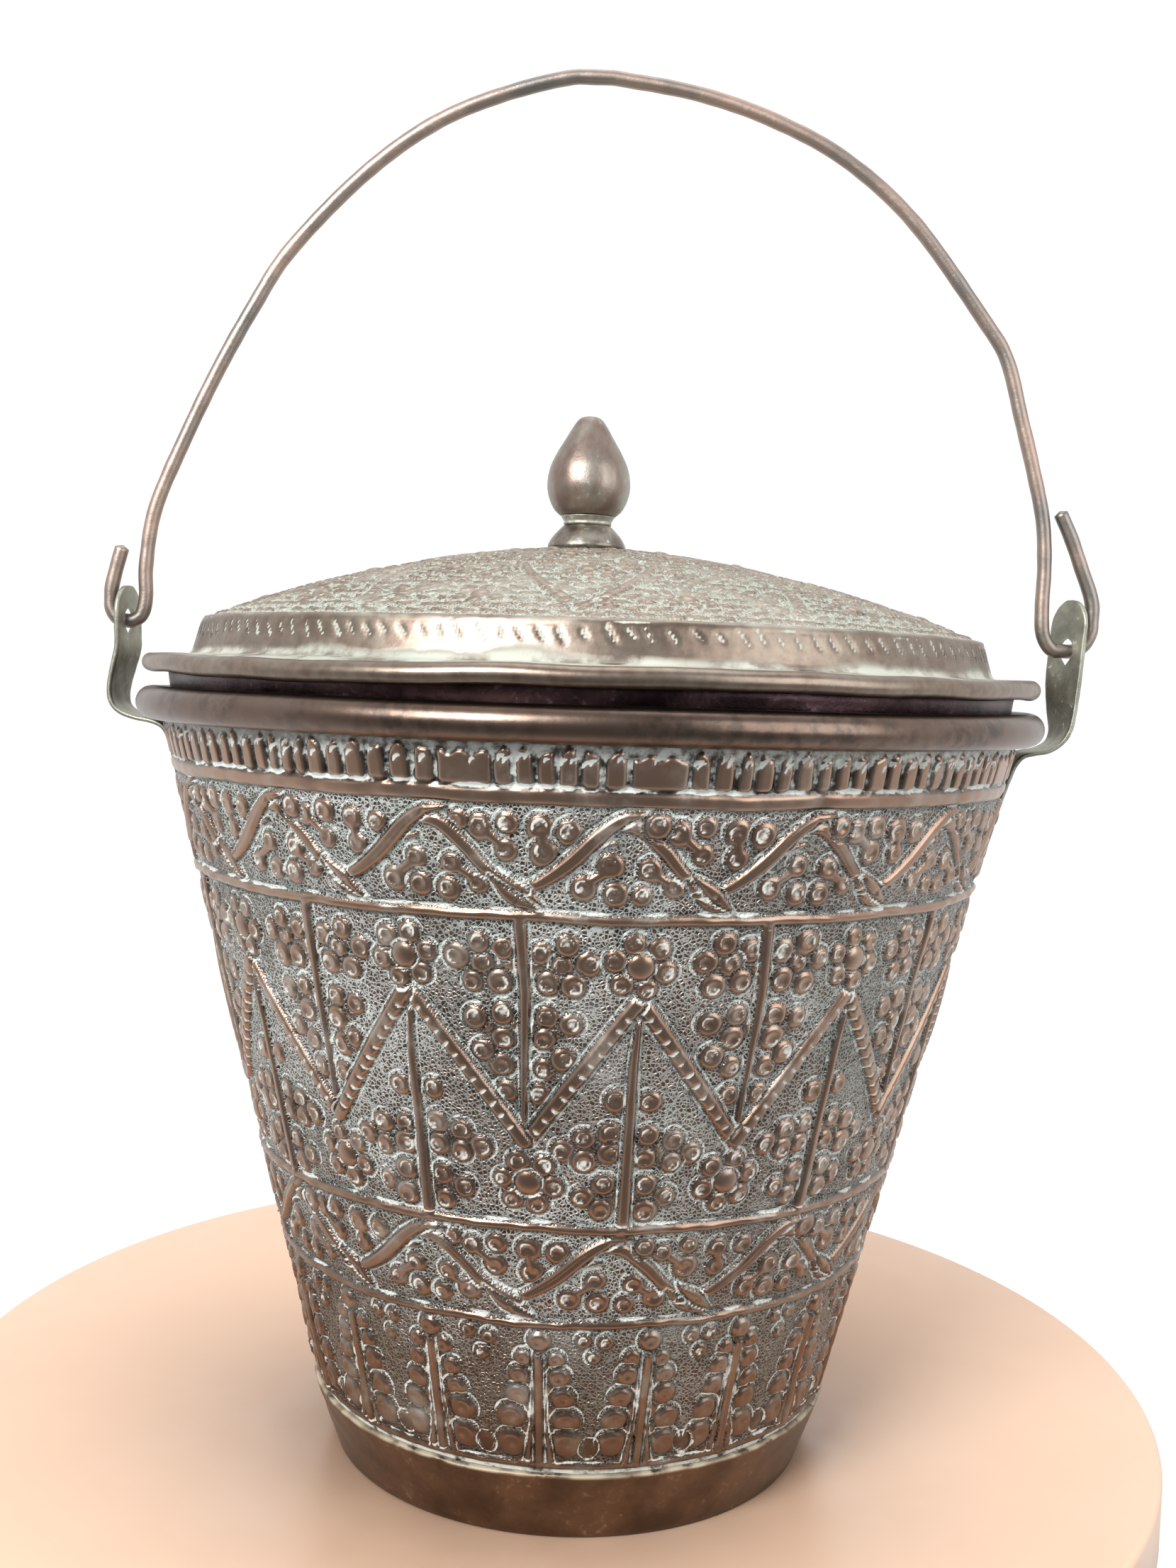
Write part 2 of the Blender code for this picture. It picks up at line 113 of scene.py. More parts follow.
def along_segment(start, end, across, up):
    """How far along a segment each point lies, from 0 to 1, and its distance from there."""
    step = end - start
    t = ((across - start[0]) * step[0] + (up - start[1]) * step[1]) / max(step @ step, 1e-9)
    t = np.clip(t, 0.0, 1.0)
    return t, np.hypot(across - start[0] - t * step[0], up - start[1] - t * step[1])


def rounded(ratio, shoulder):
    """A full, round section: 1 in the middle, where ratio is 0, and 0 at its edge, where ratio is 1."""
    return ease(1.0 - ratio, -0.02, shoulder) * (0.8 + 0.2 * np.sqrt(1.0 - ratio**2))


class Relief:
    """Heights in mm above the plain sheet. Rows run along its profile and columns round the axis."""

    def __init__(self, along, radii, columns):
        self.along = along
        self.radii = radii
        self.columns = columns
        self.pitch = TAU / columns
        self.angle = TAU * np.arange(columns) / columns
        self.height, self.chalk, self.plain = np.zeros((3, len(along), columns))

    def window(self, azimuth, along, reach):
        """Rows, columns and the offsets in mm from the point (azimuth in degrees, along in mm)."""
        radius = float(np.interp(along, self.along, self.radii))
        first_row = int(np.searchsorted(self.along, along - reach))
        last_row = int(np.searchsorted(self.along, along + reach))
        span = min(int(reach / (radius * self.pitch)) + 1, self.columns // 2 - 1)
        middle = math.radians(azimuth) / self.pitch
        columns = int(math.floor(middle)) + np.arange(-span, span + 2)
        across = (columns - middle) * self.pitch * radius
        up = self.along[first_row:last_row] - along
        return slice(first_row, last_row), columns % self.columns, across[None, :], up[:, None]

    def whiten(self, where, chalk):
        self.chalk[where] = np.maximum(self.chalk[where], chalk)

    def raise_shape(self, where, gap, top, over, groove, chalk):
        """Adds a shape given by its signed distance gap (negative inside), with a chased groove round it."""
        height = self.height[where]
        inside = gap < 0.0
        kept = np.where(inside & over, 0.0, height)
        height = np.where(inside, np.maximum(kept, top), height)
        trench = np.exp(-(((gap - GROOVE[0]) / GROOVE[1]) ** 2)) * ~inside
        self.height[where] = np.maximum(height - groove * trench, np.minimum(height, FLOOR_DEPTH))
        self.chalk[where] = np.where(inside, self.chalk[where] * 0.25, self.chalk[where])
        self.whiten(where, chalk * trench)

    def berry(self, azimuth, along, radius, height=0.95, dimple=0.5, turn=None, squeeze=1.0, eye=0.42):
        """A round punched berry with a dimple, its pale residue brighter on the side that turn points to,
        where it is a painted highlight as well.
        """
        *where, across, up = self.window(azimuth, along, radius + 1.6)
        where = tuple(where)
        # By default turn points up or to the left, towards the key lamp, so the crescent there is a painted
        # highlight.
        if turn is None:
            turn = random.uniform(1.6, 3.4)
        distance = np.hypot(across / squeeze, up)
        shift = 0.14 * radius
        off = np.hypot(across - shift * math.cos(turn), up - shift * math.sin(turn))
        pit = np.exp(-((off / (eye * radius)) ** 2.8))
        top = height * rounded(np.clip(distance / radius, 0.0, 1.0), 0.5) - dimple * pit
        # lit: the crescent of pale residue is stronger on the side turn points to, a painted highlight on top
        # of real residue.
        lit = np.clip(0.45 + 0.85 * np.cos(np.arctan2(up, across) - turn), 0.05, 1.0)
        self.raise_shape(where, distance - radius, top, True, 0.4 * lit, 1.05 * lit)
        edge = np.exp(-(((off / radius - eye) / 0.13) ** 2)) * np.clip(0.3 + lit, 0.0, 1.0)
        self.whiten(where, np.maximum(0.75 * edge, 0.5 * pit) * min(eye / 0.42, 1.0) ** 2)

    def boss(self, azimuth, along, radius, height=1.3):
        """A smooth dome with a ring round it."""
        *where, across, up = self.window(azimuth, along, radius + 2.0)
        distance = np.hypot(across, up)
        top = height * np.sqrt(1.0 - np.clip(distance / radius, 0.0, 1.0) ** 2) + 0.1
        self.raise_shape(tuple(where), distance - radius, top, True, 0.42, 1.0)

    def strap(self, azimuth, along, points, widths, height=1.0, over=True, groove=0.34, chalk=0.75):
        """A raised stroke along points (across, up) in mm, as wide at each as widths says."""
        points = np.asarray(points, float)
        widths = np.asarray(widths, float) * 0.5
        reach = float(np.abs(points).max() + widths.max() + 1.6)
        *where, across, up = self.window(azimuth, along, reach)
        gap = np.full((up.shape[0], across.shape[1]), 99.0)
        ratio = np.full_like(gap, 9.0)
        for start, end, first, last in zip(points, points[1:], widths, widths[1:]):
            t, away = along_segment(start, end, across, up)
            half = np.maximum(first + (last - first) * t, 0.05)
            nearer = away - half < gap
            gap = np.where(nearer, away - half, gap)
            ratio = np.where(nearer, away / half, ratio)
        top = height * rounded(np.clip(ratio, 0.0, 1.0), 0.55)
        self.raise_shape(tuple(where), gap, top, over, groove, chalk)

    def link(self, azimuth, along, points, widths, height, groove=0.0, chalk=0.0):
        """A low stroke that joins shapes without pressing down what is there."""
        self.strap(azimuth, along, points, widths, height, False, groove, chalk)

    def chisel(self, azimuth, along, points, width, depth, chalk):
        """A cut that narrows to both ends."""
        points = np.asarray(points, float)
        reach = float(np.abs(points).max() + width + 1.0)
        *where, across, up = self.window(azimuth, along, reach)
        where = tuple(where)
        pit = np.zeros((up.shape[0], across.shape[1]))
        count = len(points) - 1
        for index, (start, end) in enumerate(zip(points, points[1:])):
            t, away = along_segment(start, end, across, up)
            taper = 0.35 + 0.65 * np.sin(np.pi * (index + t) / count)
            pit = np.maximum(pit, np.exp(-((away / (0.5 * width * taper)) ** 2.4)))
        self.height[where] -= depth * pit
        self.whiten(where, chalk * pit)

    def ring_punch(self, azimuth, along, wide, tall, lean):
        """A double oval ring struck with a tube."""
        *where, across, up = self.window(azimuth, along, max(wide, tall) + 1.5)
        where = tuple(where)
        a = across * math.cos(lean) + up * math.sin(lean)
        b = up * math.cos(lean) - across * math.sin(lean)
        ratio = np.hypot(a / wide, b / tall)
        self.height[where] = np.where(ratio < 1.0, 0.25, self.height[where])
        self.plain[where] = np.maximum(self.plain[where], ratio < 1.0)
        for at, deep in ((1.0, 0.45), (0.72, 0.25)):
            line = np.exp(-(((ratio - at) / 0.11) ** 2))
            self.height[where] -= deep * line
            self.whiten(where, 2.1 * deep * line)
        self.height[where] += 0.25 * np.exp(-(((ratio - 1.17) / 0.08) ** 2))

    def line(self, along, half, height, wander):
        """A raised bead all the way round, a little uneven, with pale spots along its upper edge."""
        middle = along + wander * waves(self.angle, (5, 9, 14, 23))
        offset = self.along[:, None] - middle[None, :]
        near = np.flatnonzero((np.abs(offset) < 4.0 * half).any(1))
        rows = slice(near[0], near[-1] + 1)
        offset = offset[rows] / half
        ratio = np.abs(offset)
        uneven = 1.0 + 0.16 * waves(self.angle, (31, 47, 62, 90))
        top = height * uneven[None, :] * (1.0 - np.clip(ratio, 0.0, 1.0) ** 2.6) ** 0.6
        self.height[rows] = np.where(ratio < 1.0, np.maximum(self.height[rows], top), self.height[rows])
        beside = np.exp(-(((ratio - 1.3) / 0.28) ** 2))
        self.height[rows] = np.maximum(self.height[rows] - 0.3 * beside, FLOOR_DEPTH)
        upper = np.exp(-(((offset - 1.25) / 0.35) ** 2))
        spots = np.clip(0.75 + 0.6 * waves(self.angle, (17, 41, 58)), 0.2, 1.3)
        self.chalk[rows] = np.where(ratio < 0.85, 0.08, self.chalk[rows])
        self.whiten(rows, upper * spots[None, :])

    def smooth(self, values, millimetres):
        """Values blurred by about that much along the profile and round it."""
        rows = max(int(round(millimetres / (self.along[1] - self.along[0]))), 1)
        columns = max(int(round(millimetres / (float(self.radii.mean()) * self.pitch))), 1)
        for _ in range(2):
            padded = np.pad(values, ((rows, rows), (0, 0)), "edge")
            sums = np.cumsum(np.pad(padded, ((1, 0), (0, 0))), 0)
            values = (sums[2 * rows + 1 :] - sums[: -2 * rows - 1]) / (2 * rows + 1)
            padded = np.pad(values, ((0, 0), (columns, columns)), "wrap")
            sums = np.cumsum(np.pad(padded, ((0, 0), (1, 0))), 1)
            values = (sums[:, 2 * columns + 1 :] - sums[:, : -2 * columns - 1]) / (2 * columns + 1)
        return values


random = np.random.default_rng(1871)


def waves(angle, counts):
    """A smooth uneven curve of about unit size that closes after a full turn."""
    total = np.zeros_like(angle)
    for count in counts:
        total += np.cos(count * angle + random.uniform(0.0, TAU))
    return total / math.sqrt(len(counts) * 0.5) * 0.7


def jitter(size):
    return random.uniform(-size, size)


# Meshes


def mesh_object(name, points, faces, attributes=None):
    """An object from points in mm and an array of quads or triangles."""
    mesh = bpy.data.meshes.new(name)
    corners = faces.shape[1]
    mesh.vertices.add(len(points))
    mesh.vertices.foreach_set("co", (points * MM).astype(np.float32).ravel())
    mesh.loops.add(faces.size)
    mesh.loops.foreach_set("vertex_index", faces.astype(np.int32).ravel())
    mesh.polygons.add(len(faces))
    mesh.polygons.foreach_set("loop_start", np.arange(0, faces.size, corners, dtype=np.int32))
    mesh.update(calc_edges=True)
    mesh.shade_smooth()
    for key, values in (attributes or {}).items():
        layer = mesh.attributes.new(key, "FLOAT", "POINT")
        layer.data.foreach_set("value", np.asarray(values, np.float32).ravel())
    obj = bpy.data.objects.new(name, mesh)
    bpy.context.scene.collection.objects.link(obj)
    return obj


def wrapped_quads(rows, columns, close_rows):
    """Quads of a grid that wraps round its columns, and round its rows too if close_rows."""
    index = np.arange(rows * columns).reshape(rows, columns)
    right = np.roll(index, -1, 1)
    if close_rows:
        above, above_right = np.roll(index, -1, 0), np.roll(right, -1, 0)
        quads = np.stack([index, right, above_right, above], -1)
    else:
        quads = np.stack([index[:-1], right[:-1], right[1:], index[1:]], -1)
    return quads.reshape(-1, 4)


def ring_points(radii, heights, columns, centre_x=0.0):
    """Points of a turned surface, from arrays (rows, columns) or (rows, 1) of radius and z."""
    angle = TAU * np.arange(columns)[None, :] / columns
    radii = np.broadcast_to(radii, (radii.shape[0], columns))
    heights = np.broadcast_to(heights, radii.shape)
    return np.stack([centre_x + radii * np.sin(angle), -radii * np.cos(angle), heights], -1)


def resampled(points, step):
    """The polyline (r, z) at even steps, after the distance along it."""
    points = np.asarray(points, float)
    lengths = np.r_[0.0, np.cumsum(np.hypot(*np.diff(points, axis=0).T))]
    count = max(int(round(lengths[-1] / step)), 2)
    along = np.linspace(0.0, lengths[-1], count + 1)
    return along, np.interp(along, lengths, points[:, 0]), np.interp(along, lengths, points[:, 1])


def directions(across, up):
    """Unit tangents along a curve."""
    tangent = np.stack([np.gradient(across), np.gradient(up)], 1)
    return tangent / np.linalg.norm(tangent, axis=1)[:, None]


def turned(name, profile, columns, wobble=0.0, centre_x=0.0, counts=(3, 5, 8)):
    """A turned piece from (r, z) points walked counterclockwise in the profile plane."""
    profile = np.asarray(profile, float)
    angle = TAU * np.arange(columns) / columns
    radii = profile[:, :1] + wobble * waves(angle, counts)[None, :] * (profile[:, :1] > 0.5)
    return closed_rings(name, [(radii, profile[:, 1:])], columns, centre_x)


def closed_rings(name, blocks, columns, centre_x=0.0, attributes=None, flip=False):
    """A closed turned piece from blocks of rows, each with its radii and its heights."""
    radii, heights = (
        np.vstack([np.broadcast_to(rows, (len(rows), columns)) for rows in column]) for column in zip(*blocks)
    )
    points = ring_points(radii, heights, columns, centre_x).reshape(-1, 3)
    quads = wrapped_quads(len(radii), columns, True)
    return mesh_object(name, points, quads[:, ::-1] if flip else quads, attributes)


def worked_sheet(name, blocks, relief, inner_rows, shades, flip=False):
    """A closed sheet whose first rows are chased and whose last inner_rows lie inside."""
    total = sum(len(radii) for radii, _ in blocks)
    bare = ((0, total - len(relief.along)), (0, 0))
    attributes = {key: np.pad(values, bare) for key, values in shades.items()}
    inside = np.arange(total)[:, None] >= total - inner_rows
    attributes["inside"] = np.broadcast_to(inside, (total, relief.columns))
    return closed_rings(name, blocks, relief.columns, attributes=attributes, flip=flip)


def add_faces(obj, faces):
    """Closes a mesh with more faces, given by their vertex numbers, and turns all of them outwards."""
    bm = bmesh.new()
    bm.from_mesh(obj.data)
    bm.verts.ensure_lookup_table()
    for face in faces:
        bm.faces.new([bm.verts[int(index)] for index in face])
    bmesh.ops.recalc_face_normals(bm, faces=bm.faces)
    bm.to_mesh(obj.data)
    bm.free()
    obj.data.shade_smooth()
    return obj


def arc(centre, radius, start_deg, end_deg, steps):
    turn = np.radians(np.linspace(start_deg, end_deg, steps + 1))
    return np.stack([centre[0] + radius * np.cos(turn), centre[1] + radius * np.sin(turn)], 1)


def spline(points, steps):
    """A smooth curve through the points, with so many steps between each pair."""
    points = np.asarray(points, float)
    ends = np.vstack([2 * points[0] - points[1], points, 2 * points[-1] - points[-2]])
    found = []
    for a, b, c, d in zip(ends, ends[1:], ends[2:], ends[3:]):
        for t in np.arange(steps) / steps:
            bend = (c - a) * t + (2 * a - 5 * b + 4 * c - d) * t**2 + (3 * b - a - 3 * c + d) * t**3
            found.append(b + 0.5 * bend)
    return np.array([*found, points[-1]])


# Pail wall


def wall_radius(z):
    radii, heights = zip(*WALL_STATIONS)
    return np.interp(z, heights, radii) - WALL_INSET


def place(relief, azimuth, along, dx):
    """The azimuth in degrees that lies dx mm to the right of another at this height."""
    return azimuth + math.degrees(dx / float(np.interp(along, relief.along, relief.radii)))


# Vine bands: (across, up) from the stem's lowest point, drawn for a repeat 42 mm wide and 23.5 mm tall.
VINE_WIDE, VINE_TALL, VINE_TROUGH = 42.0, 23.5, 5.8
UPPER_BERRIES = (
    (-9.1, 12.6), (-3.2, 13.6), (4.1, 12.6), (10.4, 12.2), (-3.6, 7.9), (4.6, 7.0), (-13.5, 13.8))
LOWER_BERRIES = ((19.3, 5.2), (27.6, 4.4), (13.6, 0.3), (20.2, -0.9), (26.3, -1.1), (33.0, 0.6))
STALKS = ((-7, 11, -4, 8.5), (4, 12, 5, 7.5), (18.3, 4, 14.8, 1.8), (29.0, 3.2, 31.4, 1.8))
# Each leaf is its middle line as (across, up, width), and its height.
LEAVES = (
    (((9.6, 4.2, 0.6), (14.6, 8.6, 2.6), (20.6, 10.3, 0.6)), 0.85),
    (((12.4, 9.8, 0.5), (18.6, 13.6, 2.6), (25.0, 13.2, 3.5), (30.6, 8.6, 3.5), (36.2, 2.8, 2.9),
      (44.4, -1.0, 1.2)), 1.0),
    (((-4.5, -1.0, 0.6), (3.0, 0.4, 2.8), (10.4, 5.4, 3.9), (16.8, 11.8, 3.7), (22.4, 15.8, 2.6),
      (28.0, 16.6, 0.5)), 1.2),
    (((-4.8, 3.2, 0.7), (0.2, -0.6, 3.4), (4.8, -4.4, 0.8)), 0.9),
    (((36.0, 2.2, 0.7), (41.0, -2.6, 3.2), (47.5, -5.2, 0.8)), 0.85),
)
LEAF_NICKS = ((22.4, 15.0), (0.6, -1.6), (42.0, -3.3))


def vine(relief, base_z, tall, count, phase):
    """A wavy stem made of long overlapping leaves, with berries in each hollow."""
    period = 360.0 / count
    for step in range(count):
        azimuth = phase + period * step + jitter(0.4)
        width = math.radians(period) * float(np.interp(base_z, relief.along, relief.radii))
        k, up = width / VINE_WIDE, tall / VINE_TALL
        trough = base_z + VINE_TROUGH * up
        berries = [(x, y, 3.25) for x, y in UPPER_BERRIES] + [(x, y, 3.1) for x, y in LOWER_BERRIES]
        for x, y, size in berries:
            x, y = x * k + jitter(0.35), y * up + jitter(0.3)
            relief.berry(place(relief, azimuth, trough, x), trough + y, size * random.uniform(0.86, 1.12))
        for x0, y0, x1, y1 in STALKS:
            relief.link(azimuth, trough, [(x0 * k, y0 * up), (x1 * k, y1 * up)], (2.6, 2.2), 0.8)
        lean = jitter(0.5)
        for leaf, height in LEAVES:
            curve = spline([(x * k + lean, y * up, w) for x, y, w in leaf], 5)
            widths = np.maximum(curve[:, 2], 0.4)
            relief.strap(azimuth, trough, curve[:, :2], widths, height, groove=0.42, chalk=0.95)
            if len(leaf) > 3:
                relief.chisel(azimuth, trough, curve[4:-3, :2] + (0.0, 0.32), 0.55, 0.2, 0.3)
        for x, y in LEAF_NICKS:
            at = place(relief, azimuth, trough, x * k + lean)
            relief.chisel(at, trough + y * up, ((-0.4, 0.0), (0.4, 0.1)), 1.3, 0.5, 0.5)


# Berries of the middle band, as (distance from their stem, z), in groups that share a stalk.
HANGING = (
    ((4.3, 149.3), (8.6, 146.4), (14.2, 147.3), (5.4, 142.5), (11.2, 141.9), (9.8, 150.9)),
    ((5.0, 134.6), (10.6, 133.4), (4.8, 129.4)),
    ((4.7, 122.9), (9.0, 125.4)),
    ((3.7, 116.3),),
)
RISING = (
    ((3.9, 115.4),),
    ((4.4, 106.9), (10.0, 105.6), (14.4, 102.7), (9.7, 100.8), (4.3, 102.0)),
    ((4.6, 94.9), (9.3, 92.1), (5.0, 88.9)),
)


def sprays(relief, azimuth, groups):
    """Berries in threes on both sides of a stem, each group on a short stalk."""
    for side in (-1.0, 1.0):
        for group in groups:
            centre_x, middle = (sum(values) / len(group) for values in zip(*group))
            shift = jitter(0.5)
            for x, z in group:
                if x < 11.0:
                    points = [(0.5 * side, middle - z - 1.2), (side * (x - 0.8), 0.0)]
                    relief.link(azimuth, z + shift, points, (1.9, 2.8), 0.8, 0.12, 0.3)
            if len(group) > 2:
                filling = place(relief, azimuth, middle, side * centre_x)
                relief.link(filling, middle + shift, [(-1.8, 0.0), (1.8, 0.0)], (5.8, 5.8), 0.85)
            for x, z in group:
                outward = math.atan2(z - middle + 0.6, side * (x - centre_x + 0.01)) + jitter(0.5)
                x, z = x + jitter(0.4), z + shift + jitter(0.4)
                size = 3.3 * random.uniform(0.88, 1.06)
                turn = outward if len(group) > 1 else None
                squeeze = random.uniform(0.92, 1.1)
                relief.berry(place(relief, azimuth, z, side * x), z, size, turn=turn, squeeze=squeeze)


def rosette(relief, azimuth, z):
    spin = jitter(0.3)
    for petal in range(6):
        turn = spin + TAU * (petal + 0.5) / 6.0
        x, y = 5.5 * math.sin(turn), 5.2 * math.cos(turn)
        size = 3.0 * random.uniform(0.9, 1.08)
        relief.berry(place(relief, azimuth, z, x), z + y, size, turn=math.atan2(y, x))
    relief.boss(azimuth, z, 3.1)


ZIGZAGS = 12
FIRST_PEAK, PEAK_TO_VALLEY = 7.4, 14.5
ZIGZAG_Z, ZIGZAG_HALF = 121.5, 16.6


def zigzag_strap(relief, peak, far, side):
    """One notched strap of the zigzag, from a peak down to the valley at far."""
    half = math.radians(far - peak) * float(np.interp(121.0, relief.along, relief.radii)) / 2.0
    middle = (peak + far) / 2.0
    points = [(-half + side * 0.6, ZIGZAG_HALF), (0.0, jitter(0.4)), (half - side * 0.2, -ZIGZAG_HALF)]
    relief.strap(middle, ZIGZAG_Z, points, (4.1, 4.3, 4.2), 1.25, groove=0.42, chalk=0.85)
    length = 2.0 * math.hypot(half, ZIGZAG_HALF)
    tilt = math.atan2(ZIGZAG_HALF, -half)
    off = 0.9 if side < 0 else -0.7
    for cut in np.arange(4.0, length - 3.0, 3.3):
        x = half * (2.0 * cut / length - 1.0) + off * math.sin(tilt)
        y = ZIGZAG_HALF * (1.0 - 2.0 * cut / length) - off * math.cos(tilt)
        reach = random.uniform(0.9, 1.35)
        cut_x, cut_y = reach * math.sin(tilt), -reach * math.cos(tilt)
        ends = ((-cut_x, -cut_y), (jitter(0.2), jitter(0.2)), (cut_x, cut_y))
        relief.chisel(place(relief, middle, ZIGZAG_Z + y, x), ZIGZAG_Z + y, ends, 0.95, 0.5, 1.1)


def mid_band(relief):
    """Zigzag straps with flowers above and below, and berry trees in every triangle."""
    peaks = [FIRST_PEAK + 360.0 / ZIGZAGS * step for step in range(ZIGZAGS)]
    for peak in peaks:
        peak += jitter(0.4)
        hanging = (peak - PEAK_TO_VALLEY, 155.8, 20.0, 107.0, (3.0, 2.6, 1.2), HANGING)
        rising = (peak, 134.0, 4.0, 85.0, (1.3, 2.3, 3.6), RISING)
        for azimuth, z_top, bend, z_low, widths, groups in (hanging, rising):
            sprays(relief, azimuth, groups)
            sway = jitter(1.0)
            points = [(sway, z_top - 120.0), (-0.8 * sway, bend), (0.5 * sway, z_low - 120.0)]
            relief.strap(azimuth, 120.0, points, widths, 1.05, groove=0.4, chalk=0.85)
    for peak in peaks:
        zigzag_strap(relief, peak, peak + 30.0 - PEAK_TO_VALLEY, 1.0)
        zigzag_strap(relief, peak, peak - PEAK_TO_VALLEY, -1.0)
    for peak in peaks:
        rosette(relief, peak + jitter(0.4), 146.5)
        rosette(relief, peak - PEAK_TO_VALLEY + jitter(0.4), 95.0)


TREES, FIRST_TREE = 19, -5.7
TREE_LEAVES = ((3.6, 50.2, 2.7), (4.4, 45.3, 3.1), (5.3, 39.8, 3.5), (6.2, 33.6, 4.0), (6.3, 26.9, 4.5))
LOOSE_BERRIES = ((-2.6, 55.2, 2.2), (2.5, 55.0, 2.2), (0.2, 50.4, 2.1))


def trees(relief):
    """Stylised trees of overlapping round leaves, each leaf lying over the one above it."""
    period = 360.0 / TREES
    for step in range(TREES):
        azimuth = FIRST_TREE + period * step + jitter(0.5)
        for x, z, size in LOOSE_BERRIES:
            at = place(relief, azimuth + period / 2.0, z, x + jitter(0.4))
            relief.berry(at, z + jitter(0.5), size)
        for side in (-1.0, 1.0):
            for x, z, size in TREE_LEAVES:
                x, z = side * (x + jitter(0.4)), z + jitter(0.5)
                relief.link(azimuth, z, [(x, 0.0), (x * 0.35, -5.0)], (size * 1.9, size * 1.2), 0.75)
                # turn points up, so each leaf's pale crescent lies on its top: a painted highlight on the
                # residue.
                size, turn = size * random.uniform(0.93, 1.07), 1.57 + side * jitter(0.7)
                relief.berry(place(relief, azimuth, z, x), z, size, 1.0, 0.3, turn, 0.95, 0.26)
        for x in (-1.9, 1.9):
            points = [(x * 0.5, 18.0), (x * 0.8, 0.0), (x * 1.5, -10.6)]
            relief.strap(azimuth, 32.0, points, (0.5, 0.9, 2.0), 0.75)
        trunk = [(jitter(0.4), 15.0), (0.0, 0.0), (0.0, -16.8)]
        relief.strap(azimuth, 38.0, trunk, (2.0, 2.1, 2.7), 1.15, groove=0.45)
        relief.berry(azimuth + jitter(0.3), 54.8, 3.2, 1.25, 0.25, eye=0.25)
    for step in range(TREES):
        azimuth = FIRST_TREE + period * (step + 0.5) + jitter(0.8)
        relief.ring_punch(azimuth, 25.8, 2.5, 3.1, jitter(0.5))


PLAIN_PLATES = (-17.5, 3.6, 62.0, 118.0, -96.0, -143.0)


def plate(relief, middle, half, wide):
    """One upright plate: straight sides and uneven ends; fluted cuts a chisel mark or two over it."""
    rows, columns, across, up = relief.window(middle, 189.0, max(half + 1.5, 6.5))
    bow = 0.25 * jitter(1.0) * np.cos(up * 0.5)
    narrow = half * (1.0 - (0.3 * ease(up, -0.5, 4.0) if half < 2.6 else 0.0))
    sag = 0.5 * np.sin(1.3 * across + middle) + (0.9 if wide > 4.0 else 0.0)
    beyond = np.maximum(np.abs(across + bow) - narrow + 1.2, 0.0)
    above = np.maximum(np.abs(up + 0.4 + 0.5 * sag) - 2.8 + 0.5 * sag, 0.0)
    gap = np.hypot(beyond, above) - 1.2
    top = 0.6 * (1.0 - np.clip(1.0 + gap / 0.9, 0.0, 1.0) ** 2.0) ** 0.5
    relief.raise_shape((rows, columns), gap, top, True, 0.25, 0.55)
    inner = (gap < -0.35) * (1.0 - 0.55 * ease(up + jitter(1.0), 0.2, 2.6))
    relief.plain[rows, columns] = np.maximum(relief.plain[rows, columns], inner)


def fluted(relief):
    """Upright plates side by side under the rim, some of them left wide and plain."""
    upper = relief.along > 184.6
    relief.chalk[upper] = 0.5 + 0.12 * ease(relief.along[upper], 186.0, 192.0)[:, None]
    azimuth = -180.0
    while azimuth < 178.6:
        wide = random.uniform(2.05, 2.95)
        if min(abs(azimuth - blank) for blank in PLAIN_PLATES) < 1.3:
            wide = random.uniform(5.5, 8.0)
        wide = min(wide, 180.0 - azimuth)
        middle = azimuth + wide / 2.0
        half = math.radians(wide) * 112.0 / 2.0 - random.uniform(0.35, 0.8)
        if half > 0.5:
            plate(relief, middle, half, wide)
        for _ in range(1 if wide > 4.0 else 2):
            x = jitter(max(half - 0.6, 0.3))
            bend = ((-1.0, -0.9), (-0.5, 0.3), (0.6, 0.5))
            relief.chisel(place(relief, middle, 191.5, x), 190.9 + jitter(1.2), bend, 0.85, 0.3, 1.15)
        azimuth += wide


WALL_LOW_Z, WALL_HIGH_Z = 18.3, 193.8
FOOT_EDGE_Z = 19.9
# Raised beads as (z, half width, height).
BEADS = ((182.7, 1.75, 0.6), (156.7, 1.15, 0.95), (83.9, 1.15, 0.95), (59.2, 1.1, 0.9))


